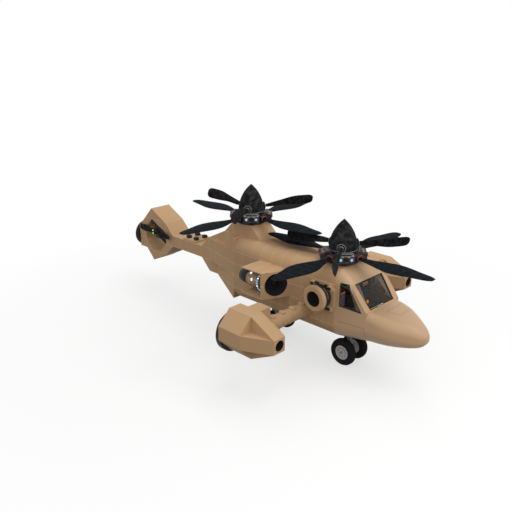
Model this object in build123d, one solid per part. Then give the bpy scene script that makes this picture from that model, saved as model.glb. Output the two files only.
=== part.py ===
from build123d import *
import os
from math import atan2, cos, radians, sin

os.makedirs("parts", exist_ok=True)

# A tandem helicopter with two stacked rotor sets, side pods on struts and a ring-shaped tail.
# Sizes are in millimetres. +X is forward, +Y is left, +Z is up, and the tyres stand on Z = 0.

# Fits, and how far a cutting solid reaches past the wall that it cuts
RUN_GAP = 0.3
SAFE_GAP = 12
OVERCUT = 200

# Straight hull
HULL_AFT_X = -350
HULL_LENGTH = 5000
HULL_WIDTH = 2000
HULL_HEIGHT = 2500
HULL_CORNER = 500
BELLY_Z = 1250

# Cockpit
COCKPIT_LENGTH = 1250
ROOF_LENGTH = 600
ROOF_DROP = 350
ROOF_CORNER = 250
SILL_DROP = 1175
COCKPIT_WALL = 60
FLOOR_RISE = 650
FLOOR_THICKNESS = 60
# Cabin frames: ahead of the straight hull, share of its half width, rise over the belly,
# lower corner radius, drop under the hull's top, upper corner radius
CABIN_FRAMES = [
    (0, 1.0, 0, HULL_CORNER, 0, HULL_CORNER),
    (ROOF_LENGTH, 0.98, 60, 560, ROOF_DROP, ROOF_CORNER),
    (COCKPIT_LENGTH, 0.967, 150, 620, ROOF_DROP, ROOF_CORNER),
]

# Nose frames: ahead of the glazed part, share of the hull's half width, rise over the belly,
# drop under the sill, lower corner radius, upper corner radius
NOSE_FRAMES = [
    (0, 0.967, 150, 0, 620, 260),
    (350, 0.93, 170, 15, 600, 330),
    (850, 0.79, 220, 85, 520, 400),
    (1400, 0.46, 320, 282, 300, 300),
    (1680, 0.24, 455, 498, 170, 150),
]
NOSE_TIP_AHEAD = 1750
NOSE_TIP_RISE = 650

# Windows
GLASS = 24
GLASS_INSET = 18
WINDSCREEN_LOW_WIDTH = 1360
WINDSCREEN_TOP_WIDTH = 1540
WINDSCREEN_FOOT = 45
WINDSCREEN_HEAD = 40
SIDE_WINDOW_AFT = 185
SIDE_WINDOW_LOW = 45
SIDE_WINDOW_HEAD = 110
FRONT_PILLAR_LOW = 180
FRONT_PILLAR_TOP = 110

# Cockpit fittings
PANEL_DEPTH = 260
PANEL_HEIGHT = 420
PANEL_WIDTH = 1500
PANEL_LEAN = 60
SEAT_WIDTH = 480
SEAT_SPACING = 860
SEAT_LENGTH = 480
SEAT_HEIGHT = 360
SEAT_DISH = 30
SEAT_BACK = 130
SEAT_BACK_HEIGHT = 900
SEAT_AFT_GAP = 120

# Aft body
SPINE_WIDTH = 1000
SHOULDER_LENGTH = 1000
FLANK_LENGTH = 2000
FLANK_DEPTH = 1000
BILGE_LENGTH = 1500
AFT_BODY_LENGTH = 2500
KEEL_RISE = 500

# Tail boom, tail ring and the exhaust behind it
BOOM_LENGTH = 2000
BOOM_HEIGHT = 500
BOOM_DROP = 1000
RING_LENGTH = 2500
RING_HALF_HEIGHT = 1250
RING_WALL = 500
RING_APEX_AFT = 1500
RING_FLOOR_AFT = 1000
EXHAUST_R = 600
EXHAUST_BORE_R = 330
EXHAUST_LENGTH = 300
EXHAUST_EDGE = 35

# Tail rotor and its drive
DRIVE_LENGTH = 850
DRIVE_DEPTH = 490
DRIVE_WIDTH = 940
TAIL_HUB_AFT = 1150
TAIL_HUB_RISE = 250
TAIL_BOSS_R = 110
TAIL_AXLE_R = 55
TAIL_AXLE_CAP = 40
TAIL_ROTOR_GAP = 150
TAIL_HUB_R = 130
TAIL_HUB_WIDTH = 150
TAIL_HUB_EDGE = 35
TAIL_BLADE_ANGLES = (3, 183)

# Unit on top of the boom
DECK_AHEAD = 710
DECK_LENGTH = 800
DECK_WIDTH = 920
DECK_THICKNESS = 60
DECK_UNIT_SIZE = 170
DECK_UNIT_HEIGHT = 120
DECK_UNIT_SPACING = 480

# Rear pylon
PYLON_BASE_LENGTH = 2000
PYLON_HEIGHT = 500

# Masts
FRONT_MAST_AFT = 500
MAST_BASE_R = 600
MAST_BASE_HEIGHT = 110
MAST_BASE_EDGE = 40
MAST_R = 140
COLLAR_R = 220
COLLAR_HEIGHT = 20

# Lower hub, with cuffs for its blades and lamp units between them
LOWER_HUB_R = 470
LOWER_HUB_HEIGHT = 290
LOWER_HUB_EDGE = 30
HUB_ROOT = 60
CUFF_REACH = 700
CUFF_WIDTH = 240
CUFF_HEIGHT = 120
LOWER_BLADE_RISE = 100
LOWER_ANGLES = (0, 90, 180, 270)
LAMP_ANGLES = (45, 135, 225, 315)
LAMP_RISE = 160
LAMP_PROUD = 25
# Lamp tiers: reach, half width, low and high edge about the lamp height, then the lamps'
# distance to each side, their rise and their radius
LAMP_TIERS = [
    (800, 310, -145, 60, 185, 0, 55),
    (630, 340, 40, 128, 255, 95, 32),
]

# Spinner and upper blades
SPINNER_R = 500
SPINNER_HEIGHT = 1070
SPINNER_SOCKET_DEPTH = 300
SPINNER_COLLAR_R = 160
SPINNER_COLLAR_ROOT = 120
SPINNER_COLLAR_PROUD = 25
UPPER_BLADE_RISE = 165
UPPER_ANGLES = (60, 180, 300)

# Lift of the upper blades' paddles: the front ones pass under the rear rotor's lower blades
FRONT_UPPER_LIFT = -113
REAR_UPPER_LIFT = 150
# Blade rows: radius, chord, thickness, pitch in degrees, forward shift, lift.
# A lower blade's radius is the share of the way from its cuff to its tip,
# and an upper blade's lift is the share of its paddle's lift.
LOWER_BLADE = [
    (0, 200, 70, 3, 0, 0),
    (0.143, 390, 54, 2, -25, 0),
    (0.304, 690, 44, 0, -25, 0),
    (0.482, 930, 40, 0, -30, 0),
    (0.661, 820, 36, 0, -35, 0),
    (0.839, 580, 30, 0, -30, 0),
    (0.946, 430, 24, 0, -25, 0),
    (1, 220, 16, 0, -20, 0),
]
UPPER_BLADE = [
    (SPINNER_R + SPINNER_COLLAR_PROUD, 140, 84, -72, 0, 0),
    (700, 165, 76, -72, 0, 0.12),
    (1000, 225, 64, -72, 0, 0.4),
    (1500, 330, 52, -72, 0, 0.85),
    (2050, 410, 42, -72, 0, 1),
    (2350, 405, 34, -72, 0, 1),
    (2500, 310, 24, -72, 0, 1),
    (2560, 170, 16, -72, 0, 1),
]
TAIL_BLADE = [
    (90, 150, 90, 14, 0, 0),
    (350, 230, 52, 12, 0, 0),
    (800, 300, 36, 8, 0, 0),
    (1080, 200, 22, 6, 0, 0),
]

# Engine nacelles, the intakes in their front faces and the turbines in them
NACELLE_AFT = 1500
NACELLE_LENGTH = 1000
NACELLE_NOSE = 500
NACELLE_WIDTH = 1000
NACELLE_HEIGHT = 1000
NACELLE_WALL = 40
INTAKE_R = 455
INTAKE_THROAT_R = 290
INTAKE_DEPTH = 300
INTAKE_WALL = 20
TURBINE_R = 300
TURBINE_LENGTH = 1010
TURBINE_OVERHANG = 180
TURBINE_OUTSET = 60
TURBINE_BORE_DEPTH = 60
BEARER_SIZE = 60
BEARER_HEIGHT = 120
# Turbine outline: share of the length from the aft end, share of the radius
TURBINE_STEPS = [
    (0.0, 0.86),
    (0.18, 0.86),
    (0.18, 0.72),
    (0.31, 1.0),
    (0.61, 1.0),
    (0.67, 0.86),
    (0.82, 0.86),
    (0.82, 1.1),
    (0.89, 1.1),
    (0.89, 0.8),
    (1.0, 0.6),
]
TURBINE_BORE = 0.55
BEARER_PLACES = (0.4, 0.55)

# Round connecting ports on the hull sides
PORT_AFT = 500
PORT_DROP = 500
PORT_PLATE = 1000
PORT_PLATE_THICKNESS = 90
PORT_CORNER_CUT = 180
PORT_R = 470
PORT_NECK_R = 360
PORT_NECK_LENGTH = 170
PORT_FLARE = 60
PORT_EDGE = 50
PORT_BORE_R = 280
PORT_REACH = 550
PORT_BORE_DEPTH = 300
PORT_CLAMP = 160
PORT_CLAMP_INSET = 130
PORT_CLAMP_PROUD = 90

# Struts and pods
STRUT_AFT = 1250
STRUT_R = 250
STRUT_DROP = 1250
STRUT_LENGTH = 2000
PAD_R = 90
PAD_HEIGHT = 30
PAD_COUNT = 4
POD_BELT = 500
POD_BODY_LENGTH = 1000
POD_NOSE_LENGTH = 1000
POD_SHOULDER_AFT = 350
POD_SHOULDER_AHEAD = 100
POD_SHOULDER_DROP = 10
POD_PORT_R = 190
POD_PORT_DEPTH = 400
NOZZLE_DROP = 190
NOZZLE_R = 700
NOZZLE_BORE_R = 560
NOZZLE_LENGTH = 270
NOZZLE_EDGE = 70

# Landing gear
MAIN_GEAR_X = 1475
WHEEL_R = 500
RIM_R = 260
TYRE_WIDTH = 270
TYRE_SHOULDER = 90
TYRE_BEAD = 20
TYRE_BEAD_HEIGHT = 50
NOSE_TRACK = 700
MAIN_TRACK = 900
AXLE_R = 60
AXLE_SHOULDER = 20
AXLE_END = 10
RIM_DISH = 70
RIM_FLANGE = 30
RIM_NAVE = 60
HUB_HOLES = 8
HUB_HOLE_R = 34
HUB_HOLE_RING_R = 170
LEG_R = 110
LEG_FOOT_Z = 1050
LEG_FLANGE_DEPTH = 90
NOSE_FLANGE = 130
MAIN_FLANGE = 60
LEG_WHEEL_GAP = 30
FORK_R = 90
FORK_HEAD_LENGTH = 90
STEER_TUBE_R = 70
STEER_TUBE_INSET = 20

# Places that follow from the sizes above
HULL_TOP_Z = BELLY_Z + HULL_HEIGHT
GUNWALE_Z = HULL_TOP_Z - HULL_CORNER
HALF_WIDTH = HULL_WIDTH / 2
HALF_SPINE = SPINE_WIDTH / 2
COCKPIT_X = HULL_AFT_X + HULL_LENGTH
NOSE_ROOT_X = COCKPIT_X + COCKPIT_LENGTH
PANEL_FRONT_X = NOSE_ROOT_X - 2 * COCKPIT_WALL
SILL_Z = HULL_TOP_Z - SILL_DROP
FLOOR_Z = BELLY_Z + FLOOR_RISE
BOOM_ROOT_X = HULL_AFT_X - AFT_BODY_LENGTH
BOOM_TOP_Z = HULL_TOP_Z - BOOM_DROP
BOOM_LOW_Z = BOOM_TOP_Z - BOOM_HEIGHT
RING_ROOT_X = BOOM_ROOT_X - BOOM_LENGTH
RING_MID_Z = (BOOM_TOP_Z + BOOM_LOW_Z) / 2
TAIL_HUB_X = RING_ROOT_X - TAIL_HUB_AFT
TAIL_HUB_Z = RING_MID_Z + TAIL_HUB_RISE
TAIL_PLANE_Y = -HALF_SPINE - TAIL_ROTOR_GAP
PYLON_TOP_Z = HULL_TOP_Z + PYLON_HEIGHT
FRONT_MAST_X = COCKPIT_X - FRONT_MAST_AFT
REAR_MAST_X = HULL_AFT_X
LOWER_TIP_R = FRONT_MAST_X - REAR_MAST_X - PYLON_BASE_LENGTH / 2
NACELLE_X = HULL_AFT_X + NACELLE_AFT
NACELLE_FRONT_X = NACELLE_X + NACELLE_LENGTH
NACELLE_LOW_Z = GUNWALE_Z - NACELLE_HEIGHT
NACELLE_MID_Z = GUNWALE_Z - NACELLE_HEIGHT / 2
NACELLE_SLANT = atan2(NACELLE_WIDTH, NACELLE_NOSE)
TURBINE_Y = -HALF_WIDTH - NACELLE_WIDTH / 2 - TURBINE_OUTSET
PORT_X = COCKPIT_X - PORT_AFT
PORT_Z = GUNWALE_Z - PORT_DROP
STRUT_X = COCKPIT_X - STRUT_AFT
STRUT_Z = GUNWALE_Z - STRUT_DROP
POD_INNER_Y = -HALF_WIDTH - STRUT_LENGTH
POD_NEAR = POD_BELT / 2
POD_FAR = POD_NEAR + POD_BELT
POD_AXIS_Y = POD_INNER_Y - POD_FAR
POD_FRONT_X = STRUT_X + STRUT_R
POD_AFT_X = POD_FRONT_X - POD_BODY_LENGTH
POD_TIP_X = POD_FRONT_X + POD_NOSE_LENGTH
NOSE_WHEEL_X = COCKPIT_X
MAIN_WHEEL_X = HULL_AFT_X + MAIN_GEAR_X


def station(x):
    """Plane across the hull at x, drawn with +Y to the right and +Z up."""
    return Plane(origin=(x, 0, 0), x_dir=(0, 1, 0), z_dir=(1, 0, 0))


def side_prism(points, y_low, y_high):
    """Prism of an (x, z) outline between two widths."""
    plane = Plane(origin=(0, y_low, 0), x_dir=(1, 0, 0), z_dir=(0, -1, 0))
    return extrude(plane * Polygon(*points, align=None), amount=y_high - y_low, dir=(0, 1, 0))


def plan_prism(points, z_low, z_high):
    """Prism of an (x, y) outline between two heights."""
    outline = Plane.XY.offset(z_low) * Polygon(*points, align=None)
    return extrude(outline, amount=z_high - z_low, dir=(0, 0, 1))


def block(x, y, z):
    """Box from three (low, high) spans."""
    size = Box(x[1] - x[0], y[1] - y[0], z[1] - z[0])
    return Pos((x[0] + x[1]) / 2, (y[0] + y[1]) / 2, (z[0] + z[1]) / 2) * size


def rod(start, end, radius):
    """Round bar between two points."""
    line = Vector(*end) - Vector(*start)
    plane = Plane(origin=start, z_dir=line)
    return extrude(plane * Circle(radius), amount=line.length)


def turned(profile, start, direction):
    """Body turned from (distance along the axis, radius) points about an axis."""
    along = Vector(*direction).normalized()
    side = Vector(0, 1, 0) if abs(along.Z) > 0.5 else Vector(0, 0, 1)
    plane = Plane(origin=start, x_dir=along, z_dir=along.cross(side))
    outline = plane * Polygon(*profile, align=None)
    return revolve(outline, axis=Axis(start, along), revolution_arc=360)


def rounded_section(x, half_width, z_low, z_high, r_low, r_high):
    """Hull section at x, with its own corner radius below and above."""
    w = half_width
    low = min(r_low, 0.98 * w)
    top = min(r_high, 0.98 * w)
    k = 1 - cos(radians(45))
    edges = [
        Line((-w + low, z_low), (w - low, z_low)),
        ThreePointArc((w - low, z_low), (w - k * low, z_low + k * low), (w, z_low + low)),
        Line((w, z_low + low), (w, z_high - top)),
        ThreePointArc((w, z_high - top), (w - k * top, z_high - k * top), (w - top, z_high)),
        Line((w - top, z_high), (-w + top, z_high)),
        ThreePointArc((-w + top, z_high), (-w + k * top, z_high - k * top), (-w, z_high - top)),
        Line((-w, z_high - top), (-w, z_low + low)),
        ThreePointArc((-w, z_low + low), (-w + k * low, z_low + k * low), (-w + low, z_low)),
    ]
    return station(x) * make_face(edges)


def both_sides(name, solid):
    """The same piece for the right side and, mirrored, for the left side."""
    return {name + "_right": solid, name + "_left": mirror(solid, about=Plane.XZ)}


# Hull and cockpit


def centre_hull():
    section = rounded_section(HULL_AFT_X, HALF_WIDTH, BELLY_Z, HULL_TOP_Z, HULL_CORNER, HULL_CORNER)
    return extrude(section, amount=HULL_LENGTH, dir=(1, 0, 0))


def windscreen_line():
    """Foot and head of the sloping windscreen in the middle plane."""
    foot = Vector(NOSE_ROOT_X, 0, SILL_Z)
    head = Vector(COCKPIT_X + ROOF_LENGTH, 0, HULL_TOP_Z - ROOF_DROP)
    return foot, head


def windscreen_plane():
    """Plane on the windscreen, with its width along Y and its height up the slope."""
    foot, head = windscreen_line()
    slope = (head - foot).normalized()
    return Plane(origin=foot, x_dir=(0, 1, 0), z_dir=Vector(0, 1, 0).cross(slope))


def cabin(inset):
    """Glazed front part of the hull, with its roof, sides, belly and windscreen moved in by inset."""
    sections = []
    for ahead, share, rise, r_low, drop, r_high in CABIN_FRAMES:
        low = BELLY_Z + rise + inset
        high = HULL_TOP_Z - drop - inset
        half = share * HALF_WIDTH - inset
        sections.append(rounded_section(COCKPIT_X + ahead, half, low, high, r_low - inset, r_high - inset))
    sheet = windscreen_plane().offset(-inset) * Rectangle(2 * HULL_WIDTH, 2 * HULL_HEIGHT)
    return loft(sections, ruled=True) - extrude(sheet, amount=HULL_HEIGHT)


def nose_cone():
    sections = []
    for ahead, share, rise, drop, r_low, r_high in NOSE_FRAMES:
        x = NOSE_ROOT_X + ahead
        sections.append(rounded_section(x, share * HALF_WIDTH, BELLY_Z + rise, SILL_Z - drop, r_low, r_high))
    tip = Vertex(NOSE_ROOT_X + NOSE_TIP_AHEAD, 0, BELLY_Z + NOSE_TIP_RISE)
    return loft(sections + [tip])


def cockpit_space(x, z):
    """Part of the space inside the cockpit walls between two places along the hull and two heights."""
    return cabin(COCKPIT_WALL) & block(x, (-HULL_WIDTH, HULL_WIDTH), z)


def nose_shell():
    cavity = cockpit_space((COCKPIT_X, PANEL_FRONT_X), (FLOOR_Z, HULL_TOP_Z))
    shell = cabin(0) + nose_cone() - cavity
    return shell - windscreen_opening() - side_opening(-1) - side_opening(1)


def windscreen_outline():
    foot, head = windscreen_line()
    low = WINDSCREEN_LOW_WIDTH / 2
    top = WINDSCREEN_TOP_WIDTH / 2
    end = (head - foot).length - WINDSCREEN_HEAD
    return Polygon((-low, WINDSCREEN_FOOT), (low, WINDSCREEN_FOOT), (top, end), (-top, end), align=None)


def windscreen_opening():
    return extrude(windscreen_plane() * windscreen_outline(), amount=OVERCUT, both=True)


def windscreen():
    plane = windscreen_plane().offset(-GLASS_INSET - GLASS / 2)
    return extrude(plane * windscreen_outline(), amount=GLASS / 2, both=True)


def side_opening(side):
    """Prism of a side window's outline, through the side wall and the curve above it."""
    aft = COCKPIT_X + SIDE_WINDOW_AFT
    low = SILL_Z - SIDE_WINDOW_LOW
    head = GUNWALE_Z + SIDE_WINDOW_HEAD
    outline = [
        (aft, low),
        (NOSE_ROOT_X - FRONT_PILLAR_LOW, low),
        (COCKPIT_X + ROOF_LENGTH - FRONT_PILLAR_TOP, head),
        (aft, head),
    ]
    inner = HALF_WIDTH - ROOF_CORNER - COCKPIT_WALL
    span = (-HULL_WIDTH, -inner) if side < 0 else (inner, HULL_WIDTH)
    return side_prism(outline, *span)


def side_window():
    """Right side window, bent with the wall that it is set in."""
    return (cabin(GLASS_INSET) & side_opening(-1)) - cabin(GLASS_INSET + GLASS)


def cockpit_floor():
    return cockpit_space((COCKPIT_X + FLOOR_THICKNESS, PANEL_FRONT_X), (FLOOR_Z, FLOOR_Z + FLOOR_THICKNESS))


def cockpit_bulkhead():
    return cockpit_space((COCKPIT_X, COCKPIT_X + FLOOR_THICKNESS), (FLOOR_Z, HULL_TOP_Z))


def instrument_panel():
    low = FLOOR_Z + FLOOR_THICKNESS
    front = PANEL_FRONT_X
    outline = [
        (front - PANEL_DEPTH, low),
        (front, low),
        (front, low + PANEL_HEIGHT),
        (front - PANEL_DEPTH, low + PANEL_HEIGHT - PANEL_LEAN),
    ]
    return side_prism(outline, -PANEL_WIDTH / 2, PANEL_WIDTH / 2)


def crew_seats():
    low = FLOOR_Z + FLOOR_THICKNESS
    aft = COCKPIT_X + FLOOR_THICKNESS + SEAT_AFT_GAP
    outline = [
        (aft, low),
        (aft + SEAT_LENGTH, low),
        (aft + SEAT_LENGTH, low + SEAT_HEIGHT),
        (aft + SEAT_BACK + SEAT_DISH, low + SEAT_HEIGHT - SEAT_DISH),
        (aft + SEAT_BACK, low + SEAT_BACK_HEIGHT),
        (aft, low + SEAT_BACK_HEIGHT),
    ]
    seats = []
    for side in (-1, 1):
        centre = side * SEAT_SPACING / 2
        seats.append(side_prism(outline, centre - SEAT_WIDTH / 2, centre + SEAT_WIDTH / 2))
    return Compound(children=seats)


def aft_body():
    """Tapered tail of the hull: shoulder, flanks and bilge around a parallel spine."""
    x = HULL_AFT_X
    keel_z = BELLY_Z + KEEL_RISE
    flank_low = GUNWALE_Z - FLANK_DEPTH
    body = side_prism([
        (x, BELLY_Z),
        (x, HULL_TOP_Z),
        (x - SHOULDER_LENGTH, HULL_TOP_Z),
        (x - FLANK_LENGTH, GUNWALE_Z),
        (x - AFT_BODY_LENGTH, BOOM_TOP_Z),
        (x - AFT_BODY_LENGTH, BOOM_LOW_Z),
        (x - FLANK_LENGTH, keel_z),
        (x - BILGE_LENGTH, keel_z),
    ], -HALF_SPINE, HALF_SPINE)
    # Wedges on both sides of the spine: length, low edge, high edge
    wedges = [
        (SHOULDER_LENGTH, GUNWALE_Z, HULL_TOP_Z),
        (FLANK_LENGTH, flank_low, GUNWALE_Z),
        (BILGE_LENGTH, BELLY_Z, flank_low),
    ]
    for length, low, high in wedges:
        aft = x - length
        outline = [(x, -HALF_WIDTH), (x, HALF_WIDTH), (aft, HALF_SPINE), (aft, -HALF_SPINE)]
        body += plan_prism(outline, low, high)
    below = [(x, BELLY_Z), (x - BILGE_LENGTH, keel_z), (x - BILGE_LENGTH, BELLY_Z)]
    return body - side_prism(below, -HULL_WIDTH, HULL_WIDTH)


def rear_pylon():
    half = PYLON_BASE_LENGTH / 2
    top = half - PYLON_HEIGHT
    x = REAR_MAST_X
    outline = [
        (x - half, HULL_TOP_Z),
        (x + half, HULL_TOP_Z),
        (x + top, PYLON_TOP_Z),
        (x - top, PYLON_TOP_Z),
    ]
    return side_prism(outline, -HALF_SPINE, HALF_SPINE)


# Tail


def tail_boom():
    return block((RING_ROOT_X, BOOM_ROOT_X), (-HALF_SPINE, HALF_SPINE), (BOOM_LOW_Z, BOOM_TOP_Z))


def boom_deck():
    aft = RING_ROOT_X + DECK_AHEAD
    half = DECK_WIDTH / 2
    return block((aft, aft + DECK_LENGTH), (-half, half), (BOOM_TOP_Z, BOOM_TOP_Z + DECK_THICKNESS))


def deck_units():
    """Four small housings near the corners of the deck."""
    middle = RING_ROOT_X + DECK_AHEAD + DECK_LENGTH / 2
    low = BOOM_TOP_Z + DECK_THICKNESS
    half = DECK_UNIT_SIZE / 2
    units = []
    for ahead in (-1, 1):
        for side in (-1, 1):
            x = middle + ahead * DECK_UNIT_SPACING / 2
            y = side * DECK_UNIT_SPACING / 2
            units.append(block((x - half, x + half), (y - half, y + half), (low, low + DECK_UNIT_HEIGHT)))
    return Compound(children=units)


def ring_point(aft, rise):
    """Place in the ring's side view: aft of its root, and above its middle line."""
    return (RING_ROOT_X - aft, RING_MID_Z + rise)


def tail_ring():
    half_boom = BOOM_HEIGHT / 2
    step = RING_WALL + half_boom
    outer = [
        ring_point(0, half_boom),
        ring_point(RING_WALL, step),
        ring_point(RING_APEX_AFT, RING_HALF_HEIGHT),
        ring_point(RING_LENGTH, half_boom),
        ring_point(RING_LENGTH, -step),
        ring_point(RING_LENGTH - RING_WALL, -step),
        ring_point(RING_APEX_AFT, -RING_HALF_HEIGHT),
        ring_point(RING_WALL, -step),
        ring_point(0, -half_boom),
    ]
    inner = [
        ring_point(RING_WALL, half_boom),
        ring_point(RING_APEX_AFT, RING_HALF_HEIGHT - RING_WALL),
        ring_point(RING_LENGTH - RING_WALL, half_boom),
        ring_point(RING_LENGTH - RING_WALL, -half_boom),
        ring_point(RING_APEX_AFT, RING_WALL - RING_HALF_HEIGHT),
        ring_point(RING_FLOOR_AFT, RING_WALL - RING_HALF_HEIGHT),
        ring_point(RING_WALL, -half_boom),
    ]
    ring = side_prism(outer, -HALF_SPINE, HALF_SPINE)
    return ring - side_prism(inner, -HULL_WIDTH, HULL_WIDTH)


def aft_exhaust():
    x, z = ring_point(RING_LENGTH, -RING_WALL / 2)
    lip = EXHAUST_LENGTH - EXHAUST_EDGE
    profile = [
        (0, EXHAUST_BORE_R),
        (0, EXHAUST_R),
        (lip, EXHAUST_R),
        (EXHAUST_LENGTH, EXHAUST_R - EXHAUST_EDGE),
        (EXHAUST_LENGTH, EXHAUST_BORE_R + EXHAUST_EDGE),
        (lip, EXHAUST_BORE_R),
    ]
    return turned(profile, (x, 0, z), (-1, 0, 0))


def tail_drive():
    """Drive case under the sloping top of the ring's opening, with a boss and the tail rotor's axle."""
    half_boom = BOOM_HEIGHT / 2
    climb = (RING_HALF_HEIGHT - RING_WALL - half_boom) / (RING_APEX_AFT - RING_WALL)
    end = RING_WALL + DRIVE_LENGTH
    end_rise = half_boom + climb * DRIVE_LENGTH
    outline = [
        ring_point(RING_WALL, half_boom),
        ring_point(end, end_rise),
        ring_point(end, end_rise - DRIVE_DEPTH),
        ring_point(RING_WALL, half_boom - DRIVE_DEPTH),
    ]
    case = side_prism(outline, -DRIVE_WIDTH / 2, DRIVE_WIDTH / 2)
    hub = (TAIL_HUB_X, 0, TAIL_HUB_Z)
    boss_y = TAIL_PLANE_Y + TAIL_HUB_WIDTH / 2 + SAFE_GAP
    axle_y = TAIL_PLANE_Y - TAIL_HUB_WIDTH / 2 + TAIL_AXLE_CAP
    case += rod(hub, (TAIL_HUB_X, boss_y, TAIL_HUB_Z), TAIL_BOSS_R)
    return case + rod(hub, (TAIL_HUB_X, axle_y, TAIL_HUB_Z), TAIL_AXLE_R)


# Rotors


def lens(chord, thickness):
    """Blade section: a low arc over a flatter one."""
    half = chord / 2
    return make_face([
        ThreePointArc((-half, 0), (0, 0.62 * thickness), (half, 0)),
        ThreePointArc((half, 0), (0, -0.38 * thickness), (-half, 0)),
    ])


def blade(rows):
    """Blade along +X, lofted through rows of a blade table."""
    sections = []
    for radius, chord, thickness, pitch, shift, lift in rows:
        chord_line = (0, cos(radians(pitch)), sin(radians(pitch)))
        plane = Plane(origin=(radius, shift, lift), x_dir=chord_line, z_dir=(1, 0, 0))
        sections.append(plane * lens(chord, thickness))
    return loft(sections)


def rotor_heights(base_z):
    """Low and high face of one mast's lower hub, and the low face of its spinner."""
    hub_low = base_z + MAST_BASE_HEIGHT + COLLAR_HEIGHT + RUN_GAP
    hub_top = hub_low + LOWER_HUB_HEIGHT
    return hub_low, hub_top, hub_top + SAFE_GAP


def mast(x, base_z):
    hub_low, _, spinner_low = rotor_heights(base_z)
    edge = MAST_BASE_EDGE
    profile = [
        (0, 0),
        (0, MAST_BASE_R - edge),
        (edge, MAST_BASE_R),
        (MAST_BASE_HEIGHT - edge, MAST_BASE_R),
        (MAST_BASE_HEIGHT, MAST_BASE_R - 2 * edge),
        (MAST_BASE_HEIGHT, 0),
    ]
    plate = turned(profile, (x, 0, base_z), (0, 0, 1))
    plate += rod((x, 0, base_z), (x, 0, hub_low - RUN_GAP), COLLAR_R)
    top = spinner_low + SPINNER_SOCKET_DEPTH - RUN_GAP
    return plate + rod((x, 0, base_z), (x, 0, top), MAST_R)


def lower_hub(x, base_z):
    hub_low, hub_top, _ = rotor_heights(base_z)
    edge = LOWER_HUB_EDGE
    profile = [
        (0, 0),
        (0, LOWER_HUB_R - edge),
        (edge, LOWER_HUB_R),
        (LOWER_HUB_HEIGHT - edge, LOWER_HUB_R),
        (LOWER_HUB_HEIGHT, LOWER_HUB_R - edge),
        (LOWER_HUB_HEIGHT, 0),
    ]
    hub = turned(profile, (x, 0, hub_low), (0, 0, 1))
    root = LOWER_HUB_R - HUB_ROOT
    cuff_z = hub_low + LOWER_BLADE_RISE
    cuff = block((root, CUFF_REACH), (-CUFF_WIDTH / 2, CUFF_WIDTH / 2),
                 (cuff_z - CUFF_HEIGHT / 2, cuff_z + CUFF_HEIGHT / 2))
    for angle in LOWER_ANGLES:
        hub += Pos(x, 0, 0) * Rot(0, 0, angle) * cuff
    lamp_z = hub_low + LAMP_RISE
    for reach, half, low, high, _, _, _ in LAMP_TIERS:
        unit = block((root, reach), (-half, half), (lamp_z + low, lamp_z + high))
        for angle in LAMP_ANGLES:
            hub += Pos(x, 0, 0) * Rot(0, 0, angle) * unit
    return hub - rod((x, 0, base_z), (x, 0, hub_top + OVERCUT), MAST_R + RUN_GAP)


def hub_lamps(x, base_z):
    lamp_z = rotor_heights(base_z)[0] + LAMP_RISE
    lamps = []
    for reach, _, _, _, aside, rise, radius in LAMP_TIERS:
        for side in (-1, 1):
            start = (reach, side * aside, lamp_z + rise)
            lamp = rod(start, (reach + LAMP_PROUD, side * aside, lamp_z + rise), radius)
            for angle in LAMP_ANGLES:
                lamps.append(Pos(x, 0, 0) * Rot(0, 0, angle) * lamp)
    return Compound(children=lamps)


def lower_blades(x, base_z):
    """Blades long enough for the front ones to pass just ahead of the rear pylon's foot."""
    z = rotor_heights(base_z)[0] + LOWER_BLADE_RISE
    span = LOWER_TIP_R - CUFF_REACH
    one = blade([(CUFF_REACH + share * span, *row) for share, *row in LOWER_BLADE])
    return Compound(children=[Pos(x, 0, z) * Rot(0, 0, angle) * one for angle in LOWER_ANGLES])


def spinner(x, base_z):
    _, _, low = rotor_heights(base_z)
    bulge = (SPINNER_R ** 2 + SPINNER_HEIGHT ** 2) / (2 * SPINNER_R)
    mid_rise = SPINNER_HEIGHT / 2
    mid_r = SPINNER_R - bulge + (bulge ** 2 - mid_rise ** 2) ** 0.5
    plane = Plane(origin=(x, 0, low), x_dir=(1, 0, 0), z_dir=(0, -1, 0))
    outline = plane * make_face([
        Line((0, 0), (SPINNER_R, 0)),
        ThreePointArc((SPINNER_R, 0), (mid_r, mid_rise), (0, SPINNER_HEIGHT)),
        Line((0, SPINNER_HEIGHT), (0, 0)),
    ])
    body = revolve(outline, axis=Axis((x, 0, low), (0, 0, 1)), revolution_arc=360)
    collar_end = SPINNER_R + SPINNER_COLLAR_PROUD
    collar = rod((SPINNER_R - SPINNER_COLLAR_ROOT, 0, 0), (collar_end, 0, 0), SPINNER_COLLAR_R)
    for angle in UPPER_ANGLES:
        body += Pos(x, 0, low + UPPER_BLADE_RISE) * Rot(0, 0, angle) * collar
    return body - rod((x, 0, base_z), (x, 0, low + SPINNER_SOCKET_DEPTH), MAST_R + RUN_GAP)


def upper_blades(x, base_z, paddle_lift):
    z = rotor_heights(base_z)[2] + UPPER_BLADE_RISE
    one = blade([(*row, share * paddle_lift) for *row, share in UPPER_BLADE])
    return Compound(children=[Pos(x, 0, z) * Rot(0, 0, angle) * one for angle in UPPER_ANGLES])


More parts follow.
